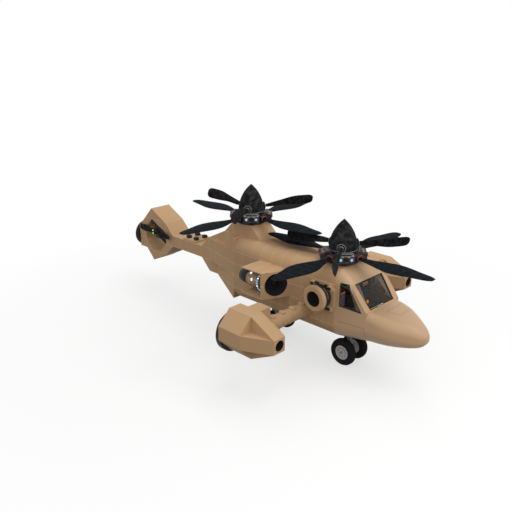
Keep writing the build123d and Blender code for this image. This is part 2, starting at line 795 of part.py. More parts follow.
def tail_rotor():
    inner_y = TAIL_PLANE_Y + TAIL_HUB_WIDTH / 2
    edge = TAIL_HUB_EDGE
    profile = [
        (0, 0),
        (0, TAIL_HUB_R),
        (TAIL_HUB_WIDTH - edge, TAIL_HUB_R),
        (TAIL_HUB_WIDTH, TAIL_HUB_R - edge),
        (TAIL_HUB_WIDTH, 0),
    ]
    rotor = turned(profile, (TAIL_HUB_X, inner_y, TAIL_HUB_Z), (0, -1, 0))
    row = Rot(90, 0, 0) * blade(TAIL_BLADE)
    for angle in TAIL_BLADE_ANGLES:
        rotor += Pos(TAIL_HUB_X, TAIL_PLANE_Y, TAIL_HUB_Z) * Rot(0, angle, 0) * row
    bore_end = TAIL_PLANE_Y - TAIL_HUB_WIDTH / 2 + TAIL_AXLE_CAP - RUN_GAP
    bore = rod((TAIL_HUB_X, 0, TAIL_HUB_Z), (TAIL_HUB_X, bore_end, TAIL_HUB_Z), TAIL_AXLE_R + RUN_GAP)
    return rotor - bore


# Side equipment, drawn for the right side


def intake_axis():
    """Middle of the nacelle's slanting front face, and the direction that it faces."""
    middle = Vector(NACELLE_FRONT_X + NACELLE_NOSE / 2, -HALF_WIDTH - NACELLE_WIDTH / 2, NACELLE_MID_Z)
    return middle, Vector(sin(NACELLE_SLANT), -cos(NACELLE_SLANT), 0)


def nacelle():
    """Box with a slanting front face, open behind and on its outer side."""
    side = -HALF_WIDTH
    out = side - NACELLE_WIDTH
    lean = NACELLE_NOSE / NACELLE_WIDTH
    shell = plan_prism([
        (NACELLE_X, side),
        (NACELLE_X, out),
        (NACELLE_FRONT_X, out),
        (NACELLE_FRONT_X + NACELLE_NOSE, side),
    ], NACELLE_LOW_Z, GUNWALE_Z)
    back_x = NACELLE_FRONT_X - NACELLE_WALL / sin(NACELLE_SLANT)
    inner_x = back_x + lean * (NACELLE_WIDTH - NACELLE_WALL)
    cavity = plan_prism([
        (NACELLE_X - OVERCUT, side - NACELLE_WALL),
        (NACELLE_X - OVERCUT, out - OVERCUT),
        (back_x - lean * OVERCUT, out - OVERCUT),
        (inner_x, side - NACELLE_WALL),
    ], NACELLE_LOW_Z + NACELLE_WALL, GUNWALE_Z - NACELLE_WALL)
    middle, facing = intake_axis()
    hole = rod(tuple(middle - facing * 2 * NACELLE_WALL), tuple(middle + facing * NACELLE_WALL), INTAKE_R)
    return shell - cavity - hole


def intake():
    """Funnel that sits in the nacelle's front face and narrows to a closed throat."""
    middle, facing = intake_axis()
    rim_r = INTAKE_R - RUN_GAP
    profile = [
        (0, rim_r - INTAKE_WALL),
        (0, rim_r),
        (NACELLE_WALL, rim_r),
        (INTAKE_DEPTH, INTAKE_THROAT_R),
        (INTAKE_DEPTH, 0),
        (INTAKE_DEPTH - INTAKE_WALL, 0),
        (INTAKE_DEPTH - INTAKE_WALL, INTAKE_THROAT_R - INTAKE_WALL),
    ]
    return turned(profile, tuple(middle), tuple(-facing))


def turbine():
    start = NACELLE_X - TURBINE_OVERHANG
    bore_r = TURBINE_BORE * TURBINE_R
    profile = [(TURBINE_BORE_DEPTH, 0), (TURBINE_BORE_DEPTH, bore_r), (0, bore_r)]
    profile += [(along * TURBINE_LENGTH, share * TURBINE_R) for along, share in TURBINE_STEPS]
    profile += [(TURBINE_LENGTH, 0)]
    body = turned(profile, (start, TURBINE_Y, NACELLE_MID_Z), (1, 0, 0))
    for place in BEARER_PLACES:
        x = start + place * TURBINE_LENGTH
        body += block((x, x + BEARER_SIZE), (TURBINE_Y, -HALF_WIDTH - NACELLE_WALL),
                      (NACELLE_MID_Z - BEARER_HEIGHT / 2, NACELLE_MID_Z + BEARER_HEIGHT / 2))
    return body


def connecting_port():
    """Round socket on an eight-sided plate with four clamp blocks."""
    half = PORT_PLATE / 2
    cut = half - PORT_CORNER_CUT
    side = -HALF_WIDTH
    corners = [
        (half, cut), (cut, half), (-cut, half), (-half, cut),
        (-half, -cut), (-cut, -half), (cut, -half), (half, -cut),
    ]
    outline = [(PORT_X + x, PORT_Z + z) for x, z in corners]
    body = side_prism(outline, side - PORT_PLATE_THICKNESS, side)
    neck = PORT_PLATE_THICKNESS + PORT_NECK_LENGTH
    profile = [
        (0, 0),
        (0, PORT_NECK_R),
        (neck, PORT_NECK_R),
        (neck + PORT_FLARE, PORT_R),
        (PORT_REACH - PORT_EDGE, PORT_R),
        (PORT_REACH, PORT_R - PORT_EDGE),
        (PORT_REACH, 0),
    ]
    body += turned(profile, (PORT_X, side, PORT_Z), (0, -1, 0))
    reach = half - PORT_CLAMP_INSET
    for ahead in (-1, 1):
        for up in (-1, 1):
            x = PORT_X + ahead * reach
            z = PORT_Z + up * reach
            body += block((x - PORT_CLAMP / 2, x + PORT_CLAMP / 2),
                          (side - PORT_PLATE_THICKNESS - PORT_CLAMP_PROUD, side),
                          (z - PORT_CLAMP / 2, z + PORT_CLAMP / 2))
    mouth = side - PORT_REACH
    bore_end = (PORT_X, mouth + PORT_BORE_DEPTH, PORT_Z)
    return body - rod((PORT_X, mouth - OVERCUT, PORT_Z), bore_end, PORT_BORE_R)


def pod_strut():
    side = -HALF_WIDTH
    tube = rod((STRUT_X, side, STRUT_Z), (STRUT_X, POD_INNER_Y, STRUT_Z), STRUT_R)
    pitch = STRUT_LENGTH / PAD_COUNT
    for n in range(PAD_COUNT):
        y = side - (n + 0.5) * pitch
        tube += rod((STRUT_X, y, STRUT_Z), (STRUT_X, y, STRUT_Z + STRUT_R + PAD_HEIGHT), PAD_R)
    return tube


def pod():
    """Eight-sided body with a cross-shaped nose that narrows to a square face."""
    near = POD_NEAR
    far = POD_FAR
    corners = [
        (near, far), (-near, far), (-far, near), (-far, -near),
        (-near, -far), (near, -far), (far, -near), (far, near),
    ]
    outline = [(POD_AXIS_Y + y, STRUT_Z + z) for y, z in corners]
    body = extrude(station(POD_AFT_X) * Polygon(*outline, align=None), amount=POD_BODY_LENGTH, dir=(1, 0, 0))
    taper = [(POD_FRONT_X, -far), (POD_TIP_X, -near), (POD_TIP_X, near), (POD_FRONT_X, far)]
    upright = [(x, STRUT_Z + off) for x, off in taper]
    level = [(x, POD_AXIS_Y + off) for x, off in taper]
    body += side_prism(upright, POD_AXIS_Y - near, POD_AXIS_Y + near)
    body += plan_prism(level, STRUT_Z - near, STRUT_Z + near)
    body += block((POD_AFT_X + POD_SHOULDER_AFT, POD_FRONT_X - POD_SHOULDER_AHEAD),
                  (POD_AXIS_Y + near, POD_INNER_Y),
                  (STRUT_Z + near, STRUT_Z + far - POD_SHOULDER_DROP))
    mouth = (POD_TIP_X + OVERCUT, POD_AXIS_Y, STRUT_Z)
    return body - rod((POD_TIP_X - POD_PORT_DEPTH, POD_AXIS_Y, STRUT_Z), mouth, POD_PORT_R)


def pod_nozzle():
    lip = NOZZLE_LENGTH - NOZZLE_EDGE
    profile = [
        (0, NOZZLE_BORE_R),
        (0, NOZZLE_R),
        (lip, NOZZLE_R),
        (NOZZLE_LENGTH, NOZZLE_R - NOZZLE_EDGE),
        (NOZZLE_LENGTH, NOZZLE_BORE_R + NOZZLE_EDGE / 2),
        (lip, NOZZLE_BORE_R),
    ]
    return turned(profile, (POD_AFT_X, POD_AXIS_Y, STRUT_Z - NOZZLE_DROP), (-1, 0, 0))


# Landing gear


def tyre(x, y):
    half = TYRE_WIDTH / 2
    shoulder = TYRE_SHOULDER
    # One side of the outline: distance from the middle, radius
    side = [
        (half - TYRE_BEAD, RIM_R),
        (half, RIM_R + TYRE_BEAD_HEIGHT),
        (half, WHEEL_R - shoulder),
        (half - 0.4 * shoulder, WHEEL_R - 0.25 * shoulder),
        (half - shoulder, WHEEL_R),
    ]
    profile = [(-along, radius) for along, radius in side] + side[::-1]
    return turned(profile, (x, y, WHEEL_R), (0, 1, 0))


def rim(x, y):
    half = TYRE_WIDTH / 2 - TYRE_BEAD
    nave = AXLE_R + RIM_NAVE
    # One side of the outline: distance from the middle, radius
    side = [
        (half, AXLE_R + RUN_GAP),
        (half, nave),
        (half - RIM_DISH, nave),
        (half - RIM_DISH, RIM_R - RIM_FLANGE),
        (half, RIM_R - RIM_FLANGE),
        (half, RIM_R),
    ]
    profile = [(-along, radius) for along, radius in side] + side[::-1]
    wheel = turned(profile, (x, y, WHEEL_R), (0, 1, 0))
    for n in range(HUB_HOLES):
        angle = radians(360 * n / HUB_HOLES)
        hole_x = x + HUB_HOLE_RING_R * cos(angle)
        hole_z = WHEEL_R + HUB_HOLE_RING_R * sin(angle)
        wheel -= rod((hole_x, y - TYRE_WIDTH, hole_z), (hole_x, y + TYRE_WIDTH, hole_z), HUB_HOLE_R)
    return wheel


def leg_flange(x, y, width):
    """Round foot that seats a leg under the belly."""
    high = LEG_FLANGE_DEPTH / 2
    r = LEG_R + width
    profile = [(0, 0), (0, r), (high, r), (LEG_FLANGE_DEPTH, LEG_R), (LEG_FLANGE_DEPTH, 0)]
    return turned(profile, (x, y, BELLY_Z), (0, 0, -1))


def nose_leg():
    x = NOSE_WHEEL_X
    leg = rod((x, 0, LEG_FOOT_Z), (x, 0, BELLY_Z), LEG_R) + leg_flange(x, 0, NOSE_FLANGE)
    bore_top = BELLY_Z - STEER_TUBE_INSET
    return leg - rod((x, 0, 0), (x, 0, bore_top), STEER_TUBE_R + RUN_GAP)


def nose_fork():
    """Steered post under the nose leg, with an axle that carries a wheel on each side."""
    x = NOSE_WHEEL_X
    head_top = LEG_FOOT_Z - RUN_GAP
    fork = rod((x, 0, WHEEL_R), (x, 0, head_top), FORK_R)
    fork += rod((x, 0, head_top - FORK_HEAD_LENGTH), (x, 0, head_top), LEG_R)
    fork += rod((x, 0, WHEEL_R), (x, 0, BELLY_Z - STEER_TUBE_INSET - RUN_GAP), STEER_TUBE_R)
    reach = NOSE_TRACK / 2 + TYRE_WIDTH / 2 - AXLE_END
    fork += rod((x, -reach, WHEEL_R), (x, reach, WHEEL_R), AXLE_R)
    inner = NOSE_TRACK / 2 - TYRE_WIDTH / 2 + TYRE_BEAD - RUN_GAP
    return fork + rod((x, -inner, WHEEL_R), (x, inner, WHEEL_R), AXLE_R + AXLE_SHOULDER)


def main_leg():
    """Right main leg: a post under the belly and an axle that reaches outwards to the wheel."""
    x = MAIN_WHEEL_X
    wheel_y = -MAIN_TRACK / 2
    post_y = wheel_y + TYRE_WIDTH / 2 + LEG_R + LEG_WHEEL_GAP
    leg = rod((x, post_y, WHEEL_R), (x, post_y, BELLY_Z), LEG_R) + leg_flange(x, post_y, MAIN_FLANGE)
    axle_y = wheel_y - TYRE_WIDTH / 2 + AXLE_END
    leg += rod((x, post_y, WHEEL_R), (x, axle_y, WHEEL_R), AXLE_R)
    shoulder_y = wheel_y + TYRE_WIDTH / 2 - TYRE_BEAD + RUN_GAP
    return leg + rod((x, post_y, WHEEL_R), (x, shoulder_y, WHEEL_R), AXLE_R + AXLE_SHOULDER)


pieces = {
    "centre_hull": centre_hull(),
    "nose_shell": nose_shell(),
    "windscreen": windscreen(),
    "cockpit_floor": cockpit_floor(),
    "cockpit_bulkhead": cockpit_bulkhead(),
    "instrument_panel": instrument_panel(),
    "crew_seats": crew_seats(),
    "aft_body": aft_body(),
    "rear_pylon": rear_pylon(),
    "tail_boom": tail_boom(),
    "boom_deck": boom_deck(),
    "deck_units": deck_units(),
    "tail_ring": tail_ring(),
    "aft_exhaust": aft_exhaust(),
    "tail_drive": tail_drive(),
    "tail_rotor": tail_rotor(),
    "nose_leg": nose_leg(),
    "nose_fork": nose_fork(),
}
for sides in (
    both_sides("side_window", side_window()),
    both_sides("nacelle", nacelle()),
    both_sides("intake", intake()),
    both_sides("turbine", turbine()),
    both_sides("connecting_port", connecting_port()),
    both_sides("pod_strut", pod_strut()),
    both_sides("pod", pod()),
    both_sides("pod_nozzle", pod_nozzle()),
    both_sides("main_leg", main_leg()),
    both_sides("main_tyre", tyre(MAIN_WHEEL_X, -MAIN_TRACK / 2)),
    both_sides("main_rim", rim(MAIN_WHEEL_X, -MAIN_TRACK / 2)),
    both_sides("nose_tyre", tyre(NOSE_WHEEL_X, -NOSE_TRACK / 2)),
    both_sides("nose_rim", rim(NOSE_WHEEL_X, -NOSE_TRACK / 2)),
):
    pieces.update(sides)
# Masts: name, place along the hull, height of the seat, lift of the upper blades
for name, x, seat_z, paddle_lift in (
    ("front", FRONT_MAST_X, HULL_TOP_Z, FRONT_UPPER_LIFT),
    ("rear", REAR_MAST_X, PYLON_TOP_Z, REAR_UPPER_LIFT),
):
    pieces[name + "_mast"] = mast(x, seat_z)
    pieces[name + "_lower_hub"] = lower_hub(x, seat_z)
    pieces[name + "_lower_blades"] = lower_blades(x, seat_z)
    pieces[name + "_spinner"] = spinner(x, seat_z)
    pieces[name + "_upper_blades"] = upper_blades(x, seat_z, paddle_lift)
    pieces[name + "_hub_lamps"] = hub_lamps(x, seat_z)

for name, solid in pieces.items():
    export_step(solid, "parts/" + name + ".step")
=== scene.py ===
# %% [markdown]
# # A tandem helicopter, dressed in Blender
# The solids of the helicopter come from a CAD model, one object for each piece, already in place.
# This lesson gives every piece its finish and adds the small parts that a walk round the real
# aircraft would show: bolts, pipes, lamps, seals, treads and the fittings of the cockpit.
# New parts are surfaces worked out with numpy, because whole arrays are quick and easy to check.

# %% Load the frame
from math import cos, pi, radians, sin

import bmesh
import bpy
import numpy as np
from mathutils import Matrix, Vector


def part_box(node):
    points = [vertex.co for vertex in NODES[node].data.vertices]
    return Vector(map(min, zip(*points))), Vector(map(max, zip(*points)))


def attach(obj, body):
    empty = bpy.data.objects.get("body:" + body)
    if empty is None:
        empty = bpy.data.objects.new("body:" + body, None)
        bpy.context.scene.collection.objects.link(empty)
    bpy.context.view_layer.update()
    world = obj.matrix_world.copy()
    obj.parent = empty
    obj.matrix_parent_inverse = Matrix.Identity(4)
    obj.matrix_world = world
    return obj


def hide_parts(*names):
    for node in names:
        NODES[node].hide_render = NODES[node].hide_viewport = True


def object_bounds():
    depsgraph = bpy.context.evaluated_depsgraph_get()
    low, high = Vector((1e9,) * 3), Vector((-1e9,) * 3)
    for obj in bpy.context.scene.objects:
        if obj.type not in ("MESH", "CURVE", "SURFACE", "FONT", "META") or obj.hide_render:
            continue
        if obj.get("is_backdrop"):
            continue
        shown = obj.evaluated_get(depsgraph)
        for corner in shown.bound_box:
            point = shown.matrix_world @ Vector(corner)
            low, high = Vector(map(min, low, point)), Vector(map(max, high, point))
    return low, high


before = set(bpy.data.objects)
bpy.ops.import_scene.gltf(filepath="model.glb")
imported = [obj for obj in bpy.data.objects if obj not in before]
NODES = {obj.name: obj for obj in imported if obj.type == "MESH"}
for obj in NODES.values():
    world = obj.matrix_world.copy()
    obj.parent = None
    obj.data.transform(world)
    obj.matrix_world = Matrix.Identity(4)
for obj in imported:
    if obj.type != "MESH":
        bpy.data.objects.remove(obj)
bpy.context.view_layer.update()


def middle_of(name):
    """Centre of the box round a solid."""
    return np.mean(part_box(name), axis=0)


# %% [markdown]
# ## Camera
# The picture was taken from ahead and to the right, a little above the cabin. The angles, the
# distance and the point looked at were measured from the hull's panel pitch, so the render lines
# up with the picture. The lens is that of a 36 mm sensor seen over 600 pixels of a 512 pixel frame.

# %% Camera
CAMERA_AZIMUTH = radians(44.68)
CAMERA_ELEVATION = radians(19.43)
CAMERA_DISTANCE = 23.39
CAMERA_TARGET = Vector((0.331, -0.420, 3.062))
SENSOR_WIDTH = 36.0
FOCAL_PIXELS = 600
FRAME_PIXELS = 512
CAMERA_FAR = 500


def look_from(azimuth, elevation):
    """Unit vector from the object to the viewer: azimuth 0 looks along +Y."""
    return Vector((sin(azimuth) * cos(elevation), -cos(azimuth) * cos(elevation), sin(elevation)))


camera = bpy.data.objects.new("camera", bpy.data.cameras.new("camera"))
bpy.context.scene.collection.objects.link(camera)
camera.data.sensor_width = SENSOR_WIDTH
camera.data.lens = SENSOR_WIDTH * FOCAL_PIXELS / FRAME_PIXELS
towards_viewer = look_from(CAMERA_AZIMUTH, CAMERA_ELEVATION)
camera.location = CAMERA_TARGET + towards_viewer * CAMERA_DISTANCE
camera.rotation_euler = (-towards_viewer).to_track_quat("-Z", "Y").to_euler()
camera.data.clip_end = CAMERA_FAR
bpy.context.scene.camera = camera
bpy.context.scene.view_settings.view_transform = "Standard"
print("lens", round(camera.data.lens, 1), "mm")

# %% [markdown]
# ## Tools for shaders
# A material is a small graph. These helpers add one node or one sum to it, so the graphs below
# read as formulas. Effects that several finishes share are node groups: they only give colours,
# masks and values, and each material keeps its own surface shader.

# %% Tools for shaders


def add_node(tree, kind, **settings):
    """New node of a kind, with its settings."""
    made = tree.nodes.new(kind)
    for key, value in settings.items():
        setattr(made, key, value)
    return made


def feed(tree, socket, value):
    """Links a socket to an output, or sets it to a number or colour."""
    if isinstance(value, bpy.types.NodeSocket):
        tree.links.new(value, socket)
    else:
        socket.default_value = value


def feed_all(tree, sockets, values):
    """Feeds sockets in order, one value each."""
    for socket, value in zip(sockets, values):
        feed(tree, socket, value)


def sum_of(tree, operation, *values):
    """Result of a maths node fed with outputs or numbers."""
    made = add_node(tree, "ShaderNodeMath", operation=operation)
    feed_all(tree, made.inputs, values)
    return made.outputs[0]


def vector_sum(tree, operation, *values):
    """Outputs of a vector maths node fed with outputs or vectors."""
    made = add_node(tree, "ShaderNodeVectorMath", operation=operation)
    feed_all(tree, made.inputs, values)
    return made.outputs


def blend_of(tree, share, first, second):
    """Colour between first and second, by share."""
    made = add_node(tree, "ShaderNodeMix", data_type="RGBA")
    feed(tree, made.inputs[0], share)
    feed_all(tree, made.inputs[6:8], (first, second))
    return made.outputs[2]


def coordinate(tree, kind="Object"):
    """Place on the object's own axes, or the way that its surface faces."""
    return add_node(tree, "ShaderNodeTexCoord").outputs[kind]


def parts_of(tree, vector):
    """X, Y and Z of a vector."""
    made = add_node(tree, "ShaderNodeSeparateXYZ")
    feed(tree, made.inputs[0], vector)
    return made.outputs


def noise_of(tree, place, scale, detail=3.0):
    """Soft random value from 0 to 1 at a place."""
    made = add_node(tree, "ShaderNodeTexNoise")
    feed(tree, made.inputs["Vector"], place)
    feed(tree, made.inputs["Scale"], scale)
    feed(tree, made.inputs["Detail"], detail)
    return made.outputs["Fac"]


def new_group(name, inputs, outputs):
    """Empty node group with (name, kind) sockets; gives the group, its input node and output node."""
    group = bpy.data.node_groups.new(name, "ShaderNodeTree")
    for way, sockets in (("INPUT", inputs), ("OUTPUT", outputs)):
        for socket, kind in sockets:
            group.interface.new_socket(socket, in_out=way, socket_type="NodeSocket" + kind)
    return group, add_node(group, "NodeGroupInput"), add_node(group, "NodeGroupOutput")


def use_group(tree, group, **values):
    """A node group placed in a material, with its inputs set or linked."""
    made = add_node(tree, "ShaderNodeGroup", node_tree=group)
    for key, value in values.items():
        feed(tree, made.inputs[key], value)
    return made


print("shader tools ready")

# %% [markdown]
# ## Floor and light
# The aircraft stands on a white studio floor. The floor shows white to the camera and to
# reflections through the light path node, so the white never has to come from strong lamps that
# would wash out the paint. Close to the aircraft the floor keeps part of its shadow, and further
# out it is all white, so no horizon shows. The light that it throws back up is held low, because
# the aircraft's belly is dark in the picture. Of the five soft lamps a wide one hangs overhead, two
# light the front and the right side, a small one gives the nose its glint and a weak one stands behind.

# %% Floor and light
FLOOR_SIZE = 240.0
FLOOR_ROUGHNESS = 0.9
SHADE_NEAR = 6.0
SHADE_FAR = 15.0
WHITE_NEAR = 0.62
WHITE = (1, 1, 1, 1)
FLOOR_SEEN = (0.9, 0.9, 0.9, 1)
FLOOR_BOUNCE = (0.1, 0.1, 0.1, 1)
WORLD_STRENGTH = 0.8
LAMP_COLOUR = (1.0, 0.985, 0.96)
LAMP_AIM = Vector((0.5, 0, 2.5))
# Lamps: name, place, size, power
LAMPS_TABLE = [
    ("key", (6.0, 2.0, 22.0), 14.0, 640),
    ("front", (15.0, 3.0, 14.0), 8.0, 400),
    ("glint", (-1.0, 7.0, 19.0), 4.0, 320),
    ("side", (16.0, -8.0, 9.0), 10.0, 330),
    ("back", (-18.0, 10.0, 12.0), 10.0, 150),
]


def seen_directly(tree):
    """1 for rays from the camera, from reflections and through glass, 0 for light that falls on things."""
    path = add_node(tree, "ShaderNodeLightPath").outputs
    plain = sum_of(tree, "MAXIMUM", path["Is Camera Ray"], path["Is Glossy Ray"])
    return sum_of(tree, "MAXIMUM", plain, path["Is Transmission Ray"])


def show_mix(tree, end, share, first, second):
    """Shows a mix of two shaders, by share, at the end node of a graph."""
    mix = add_node(tree, "ShaderNodeMixShader")
    feed_all(tree, mix.inputs, (share, first.outputs[0], second.outputs[0]))
    feed(tree, tree.nodes[end].inputs["Surface"], mix.outputs[0])


def stage_material():
    """White for the camera and for reflections, a plain pale surface with shadows for the lamps."""
    material = bpy.data.materials.new("studio_floor")
    material.use_nodes = True
    tree = material.node_tree
    shader = tree.nodes["Principled BSDF"]
    shader.inputs["Roughness"].default_value = FLOOR_ROUGHNESS
    thrown_back = add_node(tree, "ShaderNodeLightPath").outputs["Is Diffuse Ray"]
    feed(tree, shader.inputs["Base Color"], blend_of(tree, thrown_back, FLOOR_SEEN, FLOOR_BOUNCE))
    reach = vector_sum(tree, "LENGTH", coordinate(tree))["Value"]
    fade = add_node(tree, "ShaderNodeMapRange")
    feed_all(tree, fade.inputs, (reach, SHADE_NEAR, SHADE_FAR, WHITE_NEAR, 1.0))
    share = sum_of(tree, "MULTIPLY", seen_directly(tree), fade.outputs[0])
    show_mix(tree, "Material Output", share, shader, add_node(tree, "ShaderNodeEmission"))
    return material


def studio_world():
    """Even pale light from all round, pure white where the camera sees past the floor."""
    world = bpy.data.worlds.new("studio")
    bpy.context.scene.world = world
    world.use_nodes = True
    tree = world.node_tree
    soft = tree.nodes["Background"]
    bright = add_node(tree, "ShaderNodeBackground")
    for sky, strength in ((soft, WORLD_STRENGTH), (bright, 1.0)):
        feed_all(tree, sky.inputs, (WHITE, strength))
    show_mix(tree, "World Output", seen_directly(tree), soft, bright)


def soft_lamp(name, place, size, power):
    """Square area lamp at place, turned to the aircraft."""
    lamp = bpy.data.lights.new(name, "AREA")
    lamp.size = size
    lamp.energy = power
    lamp.color = LAMP_COLOUR
    thing = bpy.data.objects.new(name, lamp)
    bpy.context.scene.collection.objects.link(thing)
    thing.location = place
    thing.rotation_euler = (LAMP_AIM - Vector(place)).to_track_quat("-Z", "Y").to_euler()


floor_mesh = bpy.data.meshes.new("floor")
half = FLOOR_SIZE / 2
corners = [(-half, -half, 0), (half, -half, 0), (half, half, 0), (-half, half, 0)]
floor_mesh.from_pydata(corners, [], [(0, 1, 2, 3)])
floor = bpy.data.objects.new("floor", floor_mesh)
bpy.context.scene.collection.objects.link(floor)
floor_mesh.materials.append(stage_material())
floor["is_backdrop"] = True
studio_world()
for lamp in LAMPS_TABLE:
    soft_lamp(*lamp)
print("lamps:", len(LAMPS_TABLE))

# %% [markdown]
# ## Fade and seams
# Paint on an aircraft is never one flat colour: it fades in patches. The skin is made of half-metre
# panels, and their stitched seams catch the light as dashed lines, so the seams get a painted
# highlight, a lighter colour. Both are worked out from the object's own coordinates, so they stay
# put when the camera moves.

# %% Fade and seams
# Noise of the paint: scales of slow patches and fine grain, share of the patches
PATCH_SCALE = 0.9
FINE_SCALE = 14.0
PATCH_SHARE = 0.7
ROUGH_LEAST = 0.5
ROUGH_RANGE = 0.18
PANEL_PITCH = 0.5
SEAM_HALF_WIDTH = 0.011
STITCH_PITCH = 0.16
STITCH_GAP = 0.0256
FACING_MOST = 0.6
# Seams: axis that they are spaced on, start of the grid, axis that they run along, strength
SEAMS = [("X", 0.15, "Z", 0.5), ("Z", 0.25, "X", 1.0)]


def fade_group():
    """Patchy fading: a slow noise and a fine one, mixed into a colour and a roughness."""
    group, start, end = new_group(
        "paint_fade",
        [("Color", "Color"), ("Faded", "Color"), ("Strength", "Float")],
        [("Color", "Color"), ("Roughness", "Float"), ("Height", "Float")],
    )
    place = coordinate(group)
    slow = noise_of(group, place, PATCH_SCALE)
    fine = noise_of(group, place, FINE_SCALE)
    slow_part = sum_of(group, "MULTIPLY", slow, PATCH_SHARE)
    patch = sum_of(group, "MULTIPLY_ADD", fine, 1 - PATCH_SHARE, slow_part)
    share = sum_of(group, "MULTIPLY", patch, start.outputs["Strength"])
    feed(group, end.inputs["Color"], blend_of(group, share, start.outputs["Color"], start.outputs["Faded"]))
    feed(group, end.inputs["Roughness"], sum_of(group, "MULTIPLY_ADD", fine, ROUGH_RANGE, ROUGH_LEAST))
    feed(group, end.inputs["Height"], fine)
    return group


def seam_group():
    """Dashed seams on a half-metre grid, on the faces that each line crosses."""
    group, _, end = new_group("panel_seams", [], [("Mask", "Float")])
    spot = parts_of(group, coordinate(group))
    facing = parts_of(group, coordinate(group, "Normal"))
    masks = []
    for axis, start, along, strength in SEAMS:
        gap = sum_of(group, "PINGPONG", sum_of(group, "SUBTRACT", spot[axis], start), PANEL_PITCH / 2)
        line = sum_of(group, "LESS_THAN", gap, SEAM_HALF_WIDTH)
        dash = sum_of(group, "PINGPONG", spot[along], STITCH_PITCH / 2)
        stitch = sum_of(group, "GREATER_THAN", dash, STITCH_GAP)
        turned_away = sum_of(group, "LESS_THAN", sum_of(group, "ABSOLUTE", facing[axis]), FACING_MOST)
        drawn = sum_of(group, "MULTIPLY", sum_of(group, "MULTIPLY", line, stitch), turned_away)
        masks.append(sum_of(group, "MULTIPLY", drawn, strength))
    feed(group, end.inputs["Mask"], sum_of(group, "MAXIMUM", *masks))
    return group


PAINT_FADE = fade_group()
PANEL_SEAMS = seam_group()
print("paint groups:", PAINT_FADE.name, PANEL_SEAMS.name)

# %% [markdown]
# ## Drawn lines and sprayed coat
# A hatch shows on the nose as a fine dark line. It could be cut into the mesh, but a mask of the
# distance to a straight run gives the same line with no extra faces. The dark parts have a sprayed
# coat, which is a fine grain over a mottled one.

# %% Drawn lines and sprayed coat
LINE_HALF_WIDTH = 0.010
MOTTLE_SCALE = 7.0
GRAIN_SCALE = 60.0
COAT_CONTRAST = 3.0


def line_group():
    """Mask of a straight line: points closer than a half width to the way from start to end."""
    group, start, end = new_group(
        "line_mark", [("Place", "Vector"), ("From", "Vector"), ("To", "Vector")], [("Mask", "Float")])
    from_start = vector_sum(group, "SUBTRACT", start.outputs["Place"], start.outputs["From"])[0]
    run = vector_sum(group, "SUBTRACT", start.outputs["To"], start.outputs["From"])[0]
    part = vector_sum(group, "DOT_PRODUCT", from_start, run)["Value"]
    whole = vector_sum(group, "DOT_PRODUCT", run, run)["Value"]
    share = add_node(group, "ShaderNodeClamp")
    feed(group, share.inputs["Value"], sum_of(group, "DIVIDE", part, whole))
    reached = add_node(group, "ShaderNodeVectorMath", operation="SCALE")
    feed(group, reached.inputs[0], run)
    feed(group, reached.inputs["Scale"], share.outputs[0])
    gap = vector_sum(group, "DISTANCE", from_start, reached.outputs[0])["Value"]
    feed(group, end.inputs["Mask"], sum_of(group, "LESS_THAN", gap, LINE_HALF_WIDTH))
    return group


def grain_group():
    """Rough sprayed coat: a fine noise over a mottled one."""
    group, start, end = new_group(
        "coat_grain", [("Color", "Color"), ("Light", "Color")], [("Color", "Color"), ("Height", "Float")])
    place = coordinate(group)
    fine = noise_of(group, place, GRAIN_SCALE)
    patch = sum_of(group, "POWER", noise_of(group, place, MOTTLE_SCALE), COAT_CONTRAST)
    share = sum_of(group, "MULTIPLY", patch, sum_of(group, "MULTIPLY", fine, COAT_CONTRAST))
    feed(group, end.inputs["Color"], blend_of(group, share, start.outputs["Color"], start.outputs["Light"]))
    feed(group, end.inputs["Height"], fine)
    return group


LINE_MARK = line_group()
COAT_GRAIN = grain_group()
print("node groups:", [group.name for group in bpy.data.node_groups])

# %% [markdown]
# ## Sand paint
# The hull, pods and tail wear one matt sand-coloured paint. It could be one flat colour, but the
# real paint fades in patches, shows its panel seams, and has a hatch and a bay door cut into the
# nose. So the paint mixes the shared effects, and each kind of surface switches on what it needs.

# %% Sand paint
TAN = (0.495, 0.312, 0.170)
TAN_FADED = (0.545, 0.352, 0.195)
# Painted highlight: lighter colour of the seams, where their edges catch the light
SEAM_HIGHLIGHT = (0.74, 0.55, 0.36)
SEAM_DARK = (0.26, 0.15, 0.075)
# Painted shadow: dark colour for the shade behind a port's ring
PAINTED_SHADOW_DARK = (0.03, 0.03, 0.032)
PAINT_ROUGHNESS = 0.6
FADE_STRENGTH = 0.8
SEAM_SHARE = 0.95
HATCH_SHARE = 0.75
# Gloss is how strongly a finish mirrors the lamps
MATT_GLOSS = 0.12
NOSE_GLOSS = 0.5
NOSE_ROUGH_SHARE = 0.6
# Bumps of all finishes: strength, depth
PAINT_BUMP = (0.12, 0.004)
# Lines on the nose: corners of the hatch in plan, corners of the gear bay's door seen from the side
HATCH = [(6.27, -0.28), (6.21, 0.78), (6.64, 0.75), (6.66, -0.11), (6.27, -0.28)]
BAY_DOOR = [(4.80, 1.97), (5.82, 2.03), (5.90, 1.73)]
HATCH_FACING = 0.2
DOOR_FACING = 0.3
# Painted shadow on a connecting port, a dark band where the ring shades the neck: start and end, as
# distances from the middle plane
PORT_SHADOW_BAND = (1.19, 1.42)


def new_material(name, colour, roughness, metallic=0.0, gloss=0.5):
    """Plain finish; gives the material, its graph and its surface shader."""
    material = bpy.data.materials.new(name)
    material.use_nodes = True
    shader = material.node_tree.nodes["Principled BSDF"]
    shader.inputs["Base Color"].default_value = (*colour, 1)
    shader.inputs["Roughness"].default_value = roughness
    shader.inputs["Metallic"].default_value = metallic
    shader.inputs["Specular IOR Level"].default_value = gloss
    return material, material.node_tree, shader


